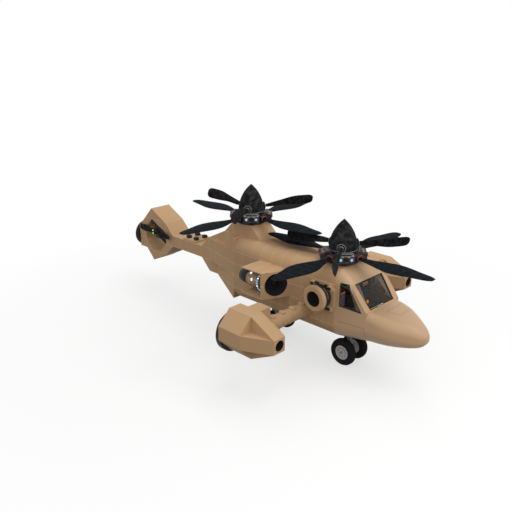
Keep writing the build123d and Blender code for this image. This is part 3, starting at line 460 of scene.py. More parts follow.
def add_bump(tree, shader, height, strength, depth):
    """Bump from a height value."""
    bump = add_node(tree, "ShaderNodeBump")
    bump.inputs["Strength"].default_value = strength
    bump.inputs["Distance"].default_value = depth
    feed(tree, bump.inputs["Height"], height)
    feed(tree, shader.inputs["Normal"], bump.outputs[0])


def drawn_lines(tree, corners, second_axis, facing_axis, least):
    """Lines through corners given on X and a second axis, on faces that look along a third one."""
    spot = parts_of(tree, coordinate(tree))
    flat = add_node(tree, "ShaderNodeCombineXYZ")
    feed_all(tree, flat.inputs, (spot["X"], spot[second_axis]))
    mask = 0.0
    for start, end in zip(corners, corners[1:]):
        line = use_group(tree, LINE_MARK, Place=flat.outputs[0], From=(*start, 0), To=(*end, 0))
        mask = sum_of(tree, "MAXIMUM", mask, line.outputs["Mask"])
    seen = parts_of(tree, coordinate(tree, "Normal"))[facing_axis]
    if facing_axis == "Y":
        seen = sum_of(tree, "ABSOLUTE", seen)
    return sum_of(tree, "MULTIPLY", mask, sum_of(tree, "GREATER_THAN", seen, least))


def tan_paint(name, with_seams, with_hatch=False, gloss=MATT_GLOSS, rough_share=1.0):
    """Matt sand paint, faded in patches, with stitched seams in a lighter painted highlight where the skin
    is panelled.
    """
    material, tree, shader = new_material(name, TAN, PAINT_ROUGHNESS, gloss=gloss)
    fade = use_group(tree, PAINT_FADE, Color=(*TAN, 1), Faded=(*TAN_FADED, 1), Strength=FADE_STRENGTH)
    colour = fade.outputs["Color"]
    height = fade.outputs["Height"]
    if with_seams:
        seams = use_group(tree, PANEL_SEAMS).outputs["Mask"]
        # Seams painted lighter: a painted highlight
        colour = blend_of(tree, sum_of(tree, "MULTIPLY", seams, SEAM_SHARE), colour, (*SEAM_HIGHLIGHT, 1))
        height = sum_of(tree, "ADD", height, seams)
    if with_hatch:
        hatch = drawn_lines(tree, HATCH, "Y", "Z", HATCH_FACING)
        door = drawn_lines(tree, BAY_DOOR, "Z", "Y", DOOR_FACING)
        lines = sum_of(tree, "MAXIMUM", hatch, door)
        colour = blend_of(tree, sum_of(tree, "MULTIPLY", lines, HATCH_SHARE), colour, (*SEAM_DARK, 1))
    feed(tree, shader.inputs["Base Color"], colour)
    feed(tree, shader.inputs["Roughness"], sum_of(tree, "MULTIPLY", fade.outputs["Roughness"], rough_share))
    add_bump(tree, shader, height, *PAINT_BUMP)
    return material


def shadow_banded_paint(name, start, end):
    """Sand paint with a painted shadow: a dark band between two distances from the middle plane."""
    material, tree, shader = new_material(name, TAN, PAINT_ROUGHNESS, gloss=MATT_GLOSS)
    aside = sum_of(tree, "ABSOLUTE", parts_of(tree, coordinate(tree))["Y"])
    past = sum_of(tree, "GREATER_THAN", aside, start)
    within = sum_of(tree, "MULTIPLY", past, sum_of(tree, "LESS_THAN", aside, end))
    feed(tree, shader.inputs["Base Color"], blend_of(tree, within, (*TAN_FADED, 1), (*PAINTED_SHADOW_DARK, 1)))
    return material


PAINT = tan_paint("sand_paint", False)
SKIN = tan_paint("sand_skin", True)
NOSE = tan_paint("sand_nose", False, True, NOSE_GLOSS, NOSE_ROUGH_SHARE)
# The port's paint carries a painted shadow behind its ring
PORT = shadow_banded_paint("port_paint", *PORT_SHADOW_BAND)
print("sand paints:", [paint.name for paint in (PAINT, SKIN, NOSE, PORT)])

# %% [markdown]
# ## Blade coat and metals
# The blades and spinners have a dark sprayed coat, and the hubs, engines and wheels are castings or
# carry heat-proof paint. All of them share the grain. Lines across a blade are drawn where the
# distance from the rotor's axis is a whole step, so they turn with the blade.

# %% Blade coat and metals
CHARCOAL = (0.005, 0.005, 0.0052)
CHARCOAL_LIGHT = (0.055, 0.055, 0.056)
SPINNER_LIGHT = (0.085, 0.085, 0.087)
INK = (0.0014, 0.003, 0.0046)
INK_LIGHT = (0.014, 0.02, 0.026)
BLADE_LINE = (0.09, 0.09, 0.09)
BLADE_LINE_SHARE = 0.3
BLADE_LINE_HALF = 0.007
COAT_ROUGHNESS = 0.7
COAT_GLOSS = 0.03
METAL_GLOSS = 0.2
COAT_BUMP = (0.25, 0.003)
METAL_BUMP = (0.15, 0.002)
# Blades: dark and light colour, distance between the lines
BLADES = {"lower": (INK, INK_LIGHT, 0.35), "upper": (CHARCOAL, CHARCOAL_LIGHT, 0.55)}


def blade_coat(name, dark, light, axis_place=None, line_pitch=0.0):
    """Dark coat; round an axis it has faint lines across the blade, at equal steps from that axis."""
    material, tree, shader = new_material(name, dark, COAT_ROUGHNESS, gloss=COAT_GLOSS)
    grain = use_group(tree, COAT_GRAIN, Color=(*dark, 1), Light=(*light, 1))
    colour = grain.outputs["Color"]
    if axis_place is not None:
        centre = add_node(tree, "ShaderNodeMapping", vector_type="POINT")
        feed(tree, centre.inputs["Vector"], coordinate(tree))
        centre.inputs["Location"].default_value = [-value for value in axis_place]
        reach = vector_sum(tree, "LENGTH", centre.outputs[0])["Value"]
        line = sum_of(tree, "LESS_THAN", sum_of(tree, "PINGPONG", reach, line_pitch / 2), BLADE_LINE_HALF)
        colour = blend_of(tree, sum_of(tree, "MULTIPLY", line, BLADE_LINE_SHARE), colour, (*BLADE_LINE, 1))
    feed(tree, shader.inputs["Base Color"], colour)
    add_bump(tree, shader, grain.outputs["Height"], *COAT_BUMP)
    return material


def worn_metal(name, colour, light, roughness, metallic):
    """Metal or heat-proof paint with a mottled, slightly rough coat."""
    material, tree, shader = new_material(name, colour, roughness, metallic, METAL_GLOSS)
    grain = use_group(tree, COAT_GRAIN, Color=(*colour, 1), Light=(*light, 1))
    feed(tree, shader.inputs["Base Color"], grain.outputs["Color"])
    add_bump(tree, shader, grain.outputs["Height"], *METAL_BUMP)
    return material


COAT = blade_coat("charcoal_coat", CHARCOAL, SPINNER_LIGHT)
BLADE_COATS = {}
for end in ("front", "rear"):
    axis_place = middle_of(end + "_mast")
    for tier, (dark, light, pitch) in BLADES.items():
        stem = end + "_" + tier
        BLADE_COATS[stem + "_blades"] = blade_coat(stem + "_coat", dark, light, axis_place, pitch)
DARK = worn_metal("dark_metal", (0.014, 0.015, 0.017), (0.06, 0.06, 0.065), 0.5, 0.2)
HUB_GREY = worn_metal("hub_casting", (0.016, 0.017, 0.019), (0.13, 0.13, 0.13), 0.45, 0.4)
STEEL = worn_metal("engine_casing", (0.36, 0.25, 0.155), (0.62, 0.46, 0.32), 0.45, 0.15)
LIGHT_GREY = worn_metal("light_grey", (0.16, 0.16, 0.16), (0.35, 0.35, 0.35), 0.45, 0.3)
CASTING = worn_metal("satin_casting", (0.5, 0.48, 0.46), (0.7, 0.68, 0.66), 0.45, 0.2)
LINING = worn_metal("moulded_lining", (0.02, 0.022, 0.025), (0.06, 0.06, 0.065), 0.7, 0.0)
print("blade coats:", list(BLADE_COATS))

# %% [markdown]
# ## Lenses, glass, cloth and rubber
# The small finishes: lit lenses give off their own light, and a few parts that hold no lamp glow
# as painted light; the windows are dark see-through glass, the seats have a woven cover and the tyres
# are matt rubber. Weave and grain are too fine to model, so they are bumps.

# %% Lenses, glass, cloth and rubber
LENS_ROUGHNESS = 0.15
GLASS_TINT = (0.004, 0.007, 0.008)
GLASS_ROUGHNESS = 0.03
GLASS_ALPHA = 0.3
COVER_GREY = (0.07, 0.066, 0.06)
RUBBER_BLACK = (0.012, 0.012, 0.013)
SOFT_ROUGHNESS = 0.85
WEAVE_RATE = 700.0
RUBBER_SCALE = 90.0
WEAVE_BUMP = (0.4, 0.002)
RUBBER_BUMP = (0.3, 0.002)


def lit_lens(name, colour, strength):
    """Finish that gives off its own light: a lamp's lens, or painted light on a part that holds no lamp."""
    material, _, shader = new_material(name, colour, LENS_ROUGHNESS)
    shader.inputs["Emission Color"].default_value = (*colour, 1)
    shader.inputs["Emission Strength"].default_value = strength
    return material


def tinted_glass():
    """Dark see-through glass."""
    material, _, shader = new_material("tinted_glass", GLASS_TINT, GLASS_ROUGHNESS)
    shader.inputs["Alpha"].default_value = GLASS_ALPHA
    return material


def woven_cover():
    """Woven cloth: two crossed waves as a bump."""
    material, tree, shader = new_material("woven_cover", COVER_GREY, SOFT_ROUGHNESS)
    spot = parts_of(tree, coordinate(tree))
    warp, weft = (sum_of(tree, "SINE", sum_of(tree, "MULTIPLY", spot[axis], WEAVE_RATE)) for axis in "YZ")
    add_bump(tree, shader, sum_of(tree, "MULTIPLY", warp, weft), *WEAVE_BUMP)
    return material


def tyre_rubber():
    """Matt black rubber with a fine grain."""
    material, tree, shader = new_material("tyre_rubber", RUBBER_BLACK, SOFT_ROUGHNESS, gloss=MATT_GLOSS)
    add_bump(tree, shader, noise_of(tree, coordinate(tree), RUBBER_SCALE), *RUBBER_BUMP)
    return material


GLASS = tinted_glass()
COVER = woven_cover()
RUBBER = tyre_rubber()
CYAN = lit_lens("cyan_lens", (0.04, 0.55, 0.85), 0.9)
WHITE_LENS = lit_lens("white_lens", (0.9, 0.97, 1.0), 1.2)
GREEN = lit_lens("green_lens", (0.32, 0.85, 0.08), 1.1)
DIM_GREEN = lit_lens("dim_green_lens", (0.10, 0.30, 0.03), 0.4)
RED_LENS = lit_lens("red_lens", (0.5, 0.01, 0.04), 0.6)
# Painted light: the gussets' paint glows a little so they show in the cockpit's shade; they hold no lamp
GUSSET_GLOW_PAINT = lit_lens("lit_cabin_paint", (0.42, 0.34, 0.25), 0.16)
# Painted light: the lattice's slats glow so that they show in the cockpit's shade; they hold no lamp
GLOWING_LILAC = lit_lens("lilac_lattice", (0.36, 0.33, 0.42), 0.4)
# Orange glow for the wall strips and the control grip; the grip holds no lamp, so its glow is painted light
ORANGE_GLOW = lit_lens("orange_lens", (0.95, 0.28, 0.03), 0.9)
YELLOW = lit_lens("yellow_mark", (0.75, 0.62, 0.05), 0.5)
BLACK = new_material("black_duct", (0.002, 0.002, 0.002), 0.95)[0]
RED = new_material("red_fitting", (0.24, 0.02, 0.022), 0.4)[0]
LIME = new_material("lime_mark", (0.45, 0.55, 0.05), 0.5)[0]
print("finishes:", len(bpy.data.materials))

# %% [markdown]
# ## Dressing the solids
# Every solid from the CAD model gets a finish. The panelled hull pieces take the seamed skin, and
# the rest of the sand-coloured pieces the plain paint.

# %% Dressing the solids
FINISHES = {
    "centre_hull": SKIN, "nose_shell": NOSE, "aft_body": SKIN, "rear_pylon": SKIN, "tail_boom": SKIN,
    "tail_ring": SKIN, "boom_deck": PAINT, "deck_units": DARK, "aft_exhaust": BLACK, "tail_drive": DARK,
    "tail_rotor": COAT, "nose_leg": PAINT, "nose_fork": LIGHT_GREY, "windscreen": GLASS,
    "cockpit_floor": LINING, "cockpit_bulkhead": LINING, "instrument_panel": LINING, "crew_seats": COVER,
}
SIDE_FINISHES = {
    "side_window": GLASS, "nacelle": SKIN, "intake": BLACK, "turbine": STEEL, "connecting_port": PORT,
    "pod_strut": PAINT, "pod": PAINT, "pod_nozzle": DARK, "main_leg": LIGHT_GREY, "main_tyre": RUBBER,
    "main_rim": CASTING, "nose_tyre": RUBBER, "nose_rim": CASTING,
}
MAST_FINISHES = {"mast": DARK, "lower_hub": HUB_GREY, "spinner": COAT, "hub_lamps": CYAN}
for stem, finish in SIDE_FINISHES.items():
    FINISHES[stem + "_left"] = finish
    FINISHES[stem + "_right"] = finish
for stem, finish in MAST_FINISHES.items():
    FINISHES["front_" + stem] = finish
    FINISHES["rear_" + stem] = finish
FINISHES.update(BLADE_COATS)
for name, thing in NODES.items():
    thing.data.materials.clear()
    thing.data.materials.append(FINISHES[name])
print("dressed:", len(FINISHES), "of", len(NODES))

# %% [markdown]
# ## Tools for shapes
# Added parts are grids of points worked out by formula: a turned outline, a pipe along a path, a
# pad with soft corners. Two parameters run over the grid, one down its rows and one along its columns.

# %% Tools for shapes


def grid_quads(rows, columns, close_rows, close_columns):
    """Corner numbers of a grid's quads; a closed direction joins its last line to its first."""
    i, j = np.meshgrid(
        np.arange(rows if close_rows else rows - 1),
        np.arange(columns if close_columns else columns - 1), indexing="ij")
    i2, j2 = (i + 1) % rows, (j + 1) % columns
    corners = np.stack([i * columns + j, i * columns + j2, i2 * columns + j2, i2 * columns + j], axis=-1)
    return corners.reshape(-1, 4)


def lathe(outline, sides=32, closed=False):
    """Turned shape about Z: each (radius, height) point goes round a circle of that radius.

    An outline that runs outwards and down gives faces that point outwards.
    """
    outline = np.asarray(outline, float)
    angle = np.linspace(0, 2 * pi, sides, endpoint=False)[:, None]
    radius, height = outline[None, :, 0], outline[None, :, 1]
    points = np.stack([radius * np.cos(angle), radius * np.sin(angle), height + 0 * angle], axis=-1)
    return points.reshape(-1, 3), grid_quads(sides, len(outline), True, closed)


def hoop(radius, thick, sides=40, around=8):
    """Ring about Z: a small circle of radius thick carried round a large one."""
    turn = np.linspace(2 * pi, 0, around, endpoint=False)
    return lathe(np.stack([radius + thick * np.cos(turn), thick * np.sin(turn)], axis=-1), sides, True)


def pipe(path, thick, sides=8):
    """Pipe along points: a circle square to the path at each point, closed to a dot at both ends."""
    path = np.asarray(path, float)
    along = np.gradient(path, axis=0)
    along /= np.linalg.norm(along, axis=1, keepdims=True)
    guide = np.where(np.abs(along[:, 2:]) < 0.9, [[0.0, 0, 1]], [[1.0, 0, 0]])
    side = np.cross(along, guide)
    side /= np.linalg.norm(side, axis=1, keepdims=True)
    rows = np.r_[0, np.arange(len(path)), len(path) - 1]
    size = np.r_[0, np.full(len(path), thick), 0][:, None, None]
    angle = np.linspace(0, 2 * pi, sides, endpoint=False)[None, :, None]
    ring = side[rows, None] * np.cos(angle) + np.cross(along, side)[rows, None] * np.sin(angle)
    points = path[rows, None] + size * ring
    return points.reshape(-1, 3), grid_quads(len(rows), sides, False, True)


def arc(radius, start, end, count=16):
    """Points on an arc about Z at height 0, angles in degrees."""
    angle = np.radians(np.linspace(start, end, count))
    return np.stack([radius * np.cos(angle), radius * np.sin(angle), 0 * angle], axis=-1)


def pad(half, roundness=0.25, sides=32, levels=12):
    """Box with soft edges: a superellipsoid, sine and cosine raised to a small power."""
    u = np.linspace(-pi, pi, sides, endpoint=False)[:, None]
    v = np.linspace(pi / 2, -pi / 2, levels)[None, :]

    def soft(value):
        value = np.round(value, 12)
        return np.sign(value) * np.abs(value) ** roundness

    points = np.stack([
        half[0] * soft(np.cos(u)) * soft(np.cos(v)),
        half[1] * soft(np.sin(u)) * soft(np.cos(v)),
        half[2] * soft(np.sin(v)) + 0 * u], axis=-1)
    return points.reshape(-1, 3), grid_quads(sides, levels, True, False)


print("surface tools ready")

# %% [markdown]
# ## Placing and copying
# A form is worked out once about its own axis. Turning, moving, mirroring and ring copies act on
# all of its points at once, and the result becomes one object, carried by a body of the frame.

# %% Placing and copying
WELD_REACH = 0.00025


def turn_to(axis):
    """Rotation that carries Z onto an axis."""
    axis = np.asarray(axis, float) / np.linalg.norm(axis)
    side = np.cross([0, 0, 1.0] if abs(axis[2]) < 0.9 else [1.0, 0, 0], axis)
    side /= np.linalg.norm(side)
    return np.stack([side, np.cross(axis, side), axis], axis=-1)


def turn_z(angle):
    """Rotation about Z."""
    return np.array([[cos(angle), -sin(angle), 0], [sin(angle), cos(angle), 0], [0, 0, 1]])


def placed(form, place, turn=None):
    """A form turned, then moved."""
    points = form[0] if turn is None else form[0] @ np.asarray(turn).T
    return points + np.asarray(place, float), form[1]


def pad_at(half, place, roundness=0.25):
    """Pad moved to its place."""
    return placed(pad(half, roundness), place)


def joined(forms):
    """Several forms as one."""
    starts = np.cumsum([0] + [len(points) for points, _ in forms[:-1]])
    points = np.concatenate([points for points, _ in forms])
    return points, np.concatenate([quads + start for (_, quads), start in zip(forms, starts)])


def ring_of(form, count, start=0.0):
    """Copies of a form at equal angles about Z."""
    return joined([placed(form, (0, 0, 0), turn_z(start + 2 * pi * n / count)) for n in range(count)])


def mirrored(form):
    """A form together with its mirror image on the other side of the aircraft."""
    points, quads = form
    return joined([form, (points * [1, -1, 1], quads[:, ::-1])])


def piece(name, form, finish, body):
    """Object made of a form with its seams and poles welded, carried by a body of the frame."""
    points, quads = form
    mesh = bpy.data.meshes.new(name)
    mesh.from_pydata(points.tolist(), [], quads.tolist())
    mesh.validate()
    welded = bmesh.new()
    welded.from_mesh(mesh)
    bmesh.ops.remove_doubles(welded, verts=welded.verts, dist=WELD_REACH)
    welded.to_mesh(mesh)
    welded.free()
    mesh.polygons.foreach_set("use_smooth", np.ones(len(mesh.polygons), bool))
    mesh.materials.append(finish)
    thing = bpy.data.objects.new(name, mesh)
    bpy.context.scene.collection.objects.link(thing)
    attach(thing, body)
    return thing


def fixed(name, form, finish):
    """Piece that never moves against the hull."""
    return piece(name, form, finish, "airframe")


print("placing tools ready")

# %% [markdown]
# ## Rotor hubs
# Between the lower blades of each hub sit lamp units. On the real aircraft each lens is held by a
# red ring, a red clamp goes over each blade root, and feed pipes run over the units. They are rings
# and pipes worked out for one blade or unit and then repeated about the mast.

# %% Rotor hubs
LOWER_BLADES = 4
BETWEEN_BLADES = pi / LOWER_BLADES
ALONG_X = turn_to((1, 0, 0))
# Lamp rows: reach from the mast, distance to each side, rise over the hub's low face, lens radius
LAMPS = [(0.812, 0.185, 0.160, 0.055), (0.642, 0.255, 0.255, 0.032)]
LENS_GAP = 0.004
LENS_RING = 0.022
BLADE_HEIGHT = 0.100
CLAMP_REACH = 0.735
CLAMP_SIZE = 0.145
CLAMP_FLATNESS = 0.75
CLAMP_OVERLAP = 0.5
CLAMP_PIPE = 0.02
# Feed pipes: reach, angle to each side of the unit, height, thickness
FEED_PIPES = [(0.575, 28, 0.298, 0.016), (0.655, 22, 0.300, 0.012), (0.70, 20, 0.238, 0.020)]
# Pads: half sizes, place from the mast's axis and the hub's low face
HUB_MARK = ((0.022, 0.03, 0.008), (0.72, -0.1, 0.226))
CUFF_COVER = ((0.075, 0.11, 0.03), (0.56, 0, 0.175))
LAMP_PLATE = ((0.012, 0.09, 0.06), (0.802, 0, 0.160))
MAST_BOLTS = 24
MAST_BOLT_SIZE = 0.022
MAST_BOLT_PLACE = (0.475, 0, 0.11)


def hub_places(end):
    """Mast axis with the heights of the mast's foot, the lower hub and the spinner."""
    feet = [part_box(end + stem)[0][2] for stem in ("_mast", "_lower_hub", "_spinner")]
    return middle_of(end + "_mast")[0], *feet


def lamp_rings():
    """A red ring round each lens of one lamp unit."""
    rings = [placed(hoop(radius + LENS_GAP, LENS_RING, 24), (reach, -aside, rise), ALONG_X)
             for reach, aside, rise, radius in LAMPS]
    return mirrored(joined(rings))


def root_clamp():
    """Red clamp over one blade root: a bow of pipe square to the blade, a little over half an ellipse."""
    angle = np.linspace(-CLAMP_OVERLAP, pi + CLAMP_OVERLAP, 18)
    rise = BLADE_HEIGHT + CLAMP_FLATNESS * CLAMP_SIZE * np.sin(angle)
    return pipe(np.stack([0 * angle + CLAMP_REACH, CLAMP_SIZE * np.cos(angle), rise], axis=-1), CLAMP_PIPE)


def feed_pipes():
    """Pipes that bow over one lamp unit, at different reaches and heights."""
    return joined([placed(pipe(arc(reach, -angle, angle), thick), (0, 0, height))
                   for reach, angle, height, thick in FEED_PIPES])


def dome(radius, height):
    """Round head of a bolt or small lens."""
    outline = [(0.0001, height), (0.55 * radius, 0.85 * height), (radius, 0.3 * height), (radius, 0)]
    return lathe(outline, 12)


# Pieces of one unit or blade: name, form, first angle, finish
HUB_PIECES = [
    ("_lamp_rings", lamp_rings(), BETWEEN_BLADES, RED),
    ("_root_clamps", root_clamp(), 0, RED),
    ("_feed_pipes", feed_pipes(), BETWEEN_BLADES, LIGHT_GREY),
    ("_hub_marks", mirrored(pad_at(*HUB_MARK)), BETWEEN_BLADES, LIME),
    ("_cuff_covers", pad_at(*CUFF_COVER), 0, HUB_GREY),
    ("_lamp_plates", pad_at(*LAMP_PLATE), BETWEEN_BLADES, BLACK),
]
bolts = ring_of(placed(dome(MAST_BOLT_SIZE, MAST_BOLT_SIZE), MAST_BOLT_PLACE), MAST_BOLTS)
for end in ("front", "rear"):
    x, foot_z, hub_z, _ = hub_places(end)
    for name, form, start, finish in HUB_PIECES:
        around = placed(ring_of(form, LOWER_BLADES, start), (x, 0, hub_z))
        piece(end + name, around, finish, end + "_lower")
    fixed(end + "_mast_bolts", placed(bolts, (x, 0, foot_z)), HUB_GREY)
print("hub pieces for two masts")

# %% [markdown]
# ## Spinners
# A pale bearing ring surrounds each upper blade where it enters the spinner, and another closes
# the spinner's foot. They are plain rings turned to face outwards.

# %% Spinners
UPPER_BLADES = 3
COLLAR_R = 0.146
COLLAR_THICK = 0.014
COLLAR_PLACE = (0.527, 0, 0.165)
# Sleeve round a blade's root: radius, distance outwards
SLEEVE = [(0.07, 0.06), (0.085, 0.05), (0.085, 0.004), (0.07, 0)]
SPINNER_FOOT_R = 0.500
SPINNER_FOOT_THICK = 0.011
SPINNER_FOOT_RISE = 0.02
collar = joined([hoop(COLLAR_R, COLLAR_THICK, 32), lathe(SLEEVE, 24)])
collars = ring_of(placed(collar, COLLAR_PLACE, ALONG_X), UPPER_BLADES, pi / UPPER_BLADES)
foot = placed(hoop(SPINNER_FOOT_R, SPINNER_FOOT_THICK, 64), (0, 0, SPINNER_FOOT_RISE))
for end in ("front", "rear"):
    x, _, _, spinner_z = hub_places(end)
    for name, form in (("_collar_rings", collars), ("_spinner_foot", foot)):
        piece(end + name, placed(form, (x, 0, spinner_z)), LIGHT_GREY, end + "_upper")
print("spinner rings for two masts")

# %% [markdown]
# ## Engines
# The nacelles are open on the outside, so the turbines show: a dark jet pipe behind, a lit ring of
# beads at the front flange, and fuel lines along the casing. Each part is worked out about the
# engine's own axis, then turned along the aircraft and mirrored for the other engine.

# %% Engines
engine_low, engine_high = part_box("turbine_right")
ENGINE_R = 0.300
ENGINE_FLANGE_R = 1.1 * ENGINE_R
ENGINE_LENGTH = engine_high[0] - engine_low[0]
ENGINE_AXIS_Z = middle_of("turbine_right")[2]
ENGINE_AFT = (engine_low[0], engine_low[1] + ENGINE_FLANGE_R, ENGINE_AXIS_Z)
# Jet pipe's outline: radius, distance ahead of the engine's aft end
JET_PIPE = [(0.255, 0.185), (0.275, 0.17), (0.26, -0.02), (0.235, -0.17), (0.19, -0.16), (0.17, 0.02)]
FLANGE_BEADS = 22
BEAD_HALF = (0.026, 0.026, 0.026)
BEAD_PLACE = (0.335, 0, 0.855 * ENGINE_LENGTH)
# Fuel lines: angle about the engine, thickness
FUEL_LINES = [
    (0.2, 0.02), (0.7, 0.014), (1.25, 0.022), (1.9, 0.014), (2.6, 0.02), (3.3, 0.016), (5.2, 0.02),
]
# Fuel line's way as shares: least reach and lift of the engine's radius, start and run of its length
FUEL_REACH, FUEL_LIFT, FUEL_START, FUEL_RUN = 0.9, 0.22, 0.24, 0.56
BAND_PLACES = (0.33, 0.45, 0.58)
BAND_GAP = 0.004
BAND_THICK = 0.012
CASING_LAMP_HALF = (0.03, 0.045, 0.03)
# Casing lamps: angle about the engine, share of its length
CASING_LAMPS = [(0.45, 0.40), (1.0, 0.52), (2.2, 0.42), (2.9, 0.56)]


def engine_part(name, form, finish):
    """Part drawn about the engine's axis, for both engines."""
    fixed(name, mirrored(placed(form, ENGINE_AFT, ALONG_X)), finish)


def fuel_line(angle, thick):
    """Pipe along the casing that dips to it at both ends: its reach follows a flattened sine."""
    share = np.linspace(0, 1, 24)
    reach = ENGINE_R * (FUEL_REACH + FUEL_LIFT * np.sin(pi * share) ** 0.35)
    path = np.stack([reach, 0 * share, ENGINE_LENGTH * (FUEL_START + FUEL_RUN * share)], axis=-1)
    return placed(pipe(path, thick), (0, 0, 0), turn_z(angle))


engine_part("jet_pipes", lathe(JET_PIPE, 40), DARK)
bead = placed(pad(BEAD_HALF, 1.0, 12, 8), BEAD_PLACE)
beads = [placed(bead, (0, 0, 0), turn_z(2 * pi * n / FLANGE_BEADS)) for n in range(FLANGE_BEADS)]
engine_part("flange_lamps", joined([bead for n, bead in enumerate(beads) if n % 3]), CYAN)
engine_part("flange_lights", joined(beads[::3]), WHITE_LENS)
engine_part("fuel_lines", joined([fuel_line(*line) for line in FUEL_LINES]), STEEL)
band = hoop(ENGINE_R + BAND_GAP, BAND_THICK, 48)
bands = [placed(band, (0, 0, ENGINE_LENGTH * along)) for along in BAND_PLACES]
engine_part("casing_bands", joined(bands), PAINT)
lenses = [pad_at(CASING_LAMP_HALF, (ENGINE_R * cos(angle), ENGINE_R * sin(angle), ENGINE_LENGTH * along))
          for angle, along in CASING_LAMPS]
engine_part("engine_lamps", joined(lenses), WHITE_LENS)
print("engine parts on both sides")

# %% [markdown]
# ## Intakes
# Each intake has a bladed fan deep in its throat and a painted lip round its mouth. A fan blade is
# a twisted strip, steep at the hub and flatter at the tip, and copies of it go round the hub.

# %% Intakes
INTAKE_R = 0.455
INTAKE_LIP = 0.012
INTAKE_SETBACK = 0.25
FAN_BLADES = 18
FAN_HUB_R = 0.06
FAN_R = 0.255
FAN_HALF_CHORD = 0.045
FAN_DEPTH = 0.235
# Fan blade's pitch in degrees: at the hub, fall for each metre outwards
ROOT_PITCH = 62
PITCH_FALL = 110
NOSE_CAP = [(0.0001, 0.09), (0.04, 0.07), (0.075, 0.02), (0.08, -0.02)]
INTAKE_FACING = np.array([2.0, -1.0, 0]) / np.sqrt(5.0)
INTAKE_TURN = turn_to(INTAKE_FACING)
intake_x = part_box("nacelle_right")[1][0] - INTAKE_SETBACK
INTAKE_MIDDLE = np.array([intake_x, middle_of("nacelle_right")[1], ENGINE_AXIS_Z])


def fan_blade():
    """One fan blade: a strip from hub to tip whose pitch falls with the radius."""
    r, c = np.meshgrid(np.linspace(FAN_HUB_R, FAN_R, 8), np.linspace(-1, 1, 4), indexing="ij")
    pitch = np.radians(ROOT_PITCH - PITCH_FALL * (r - FAN_HUB_R))
    chord = FAN_HALF_CHORD * c
    points = np.stack([r, chord * np.cos(pitch), chord * np.sin(pitch)], axis=-1)
    return points.reshape(-1, 3), grid_quads(8, 4, False, False)[:, ::-1]


fan = joined([ring_of(fan_blade(), FAN_BLADES), lathe(NOSE_CAP)])
fan = placed(fan, INTAKE_MIDDLE - FAN_DEPTH * INTAKE_FACING, INTAKE_TURN)
fixed("intake_fans", mirrored(fan), BLACK)
lip = placed(hoop(INTAKE_R - INTAKE_LIP, INTAKE_LIP, 64), INTAKE_MIDDLE, INTAKE_TURN)
fixed("intake_lips", mirrored(lip), PAINT)
print("fan blades:", 2 * FAN_BLADES)

# %% [markdown]
# ## Connecting ports
# A coupling slides into each round port. Bolts hold the ring, dark seals fill the gap behind it, and
# a locking bar with a dark pad sits at each corner of the plate.

# %% Connecting ports
port_low, port_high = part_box("connecting_port_right")
port_middle = middle_of("connecting_port_right")
PORT_PLACE = (port_middle[0], port_high[1], port_middle[2])
PORT_REACH = port_high[1] - port_low[1]
OUTWARDS = turn_to((0, -1, 0))
PORT_BOLTS = 12
PORT_BOLT_START = 0.26
PORT_BOLT_HEAD = (0.02, 0.014)
PORT_BOLT_PLACE = (0.35, 0, PORT_REACH)
# Liner's outline: radius, distance outwards from the mouth
PORT_LINER = [(0.0001, -0.297), (0.277, -0.297), (0.277, -0.02)]
# Rings: radius, thickness
PORT_MOUTH = (0.285, 0.012)
PORT_SEAL = (0.375, 0.045)
PORT_SEAL_PLACE = (0, 0, 0.13)
# Locking pads and bars: half sizes, place ahead, up and outwards from the port's axis
LOCKS = [((0.07, 0.055, 0.02), (0.37, 0.37, 0.182)), ((0.10, 0.03, 0.03), (0.22, 0.42, 0.11))]


def port_part(name, form, finish):
    """Part drawn about a port's axis with Z outwards, for both ports."""
    fixed(name, mirrored(placed(form, PORT_PLACE, OUTWARDS)), finish)


port_mouth = (0, 0, PORT_REACH)
bolt = placed(dome(*PORT_BOLT_HEAD), PORT_BOLT_PLACE)
port_part("port_bolts", ring_of(bolt, PORT_BOLTS, PORT_BOLT_START), STEEL)
port_part("port_liners", placed(lathe(PORT_LINER, 48), port_mouth), BLACK)
port_part("port_mouths", placed(hoop(*PORT_MOUTH, 48), port_mouth), PAINT)
port_part("port_seals", placed(hoop(*PORT_SEAL, 48), PORT_SEAL_PLACE), DARK)
clamps = [pad_at(size, (ahead * place[0], up * place[1], place[2]))
          for ahead in (-1, 1) for up in (-1, 1) for size, place in LOCKS]
port_part("port_clamps", joined(clamps), DARK)
print("port parts on both sides")

# %% [markdown]
# ## Struts and pods
# Bands clamp the strut at every half metre and a cap covers each pad on top. The pod's round
# socket has a rim and a dark bore, and guide vanes stand in its nozzle.

# %% Struts and pods
strut_low, strut_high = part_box("pod_strut_right")
STRUT_R = 0.250
STRUT_STEP = 0.5
STRUT_PADS = 4
STRUT_BAND = 0.013
ROOT_BAND_IN = 0.05
TIP_BAND_IN = 0.04
STRUT_X = middle_of("pod_strut_right")[0]
STRUT_Z = strut_low[2] + STRUT_R
# Cap's outline: radius, height over the pad
STRUT_CAP = [(0.0001, 0.012), (0.11, 0.012), (0.125, 0.002), (0.125, -0.065)]
step_y = strut_high[1] - STRUT_STEP * np.arange(1, STRUT_PADS)
band_y = np.r_[strut_high[1] - ROOT_BAND_IN, step_y, strut_low[1] + TIP_BAND_IN]
bands = [placed(hoop(STRUT_R, STRUT_BAND, 48), (STRUT_X, y, STRUT_Z), OUTWARDS) for y in band_y]
pad_y = strut_high[1] - STRUT_STEP * (np.arange(STRUT_PADS) + 0.5)
caps = [placed(lathe(STRUT_CAP, 32), (STRUT_X, y, strut_high[2])) for y in pad_y]
fixed("strut_bands", mirrored(joined(bands + caps)), PAINT)

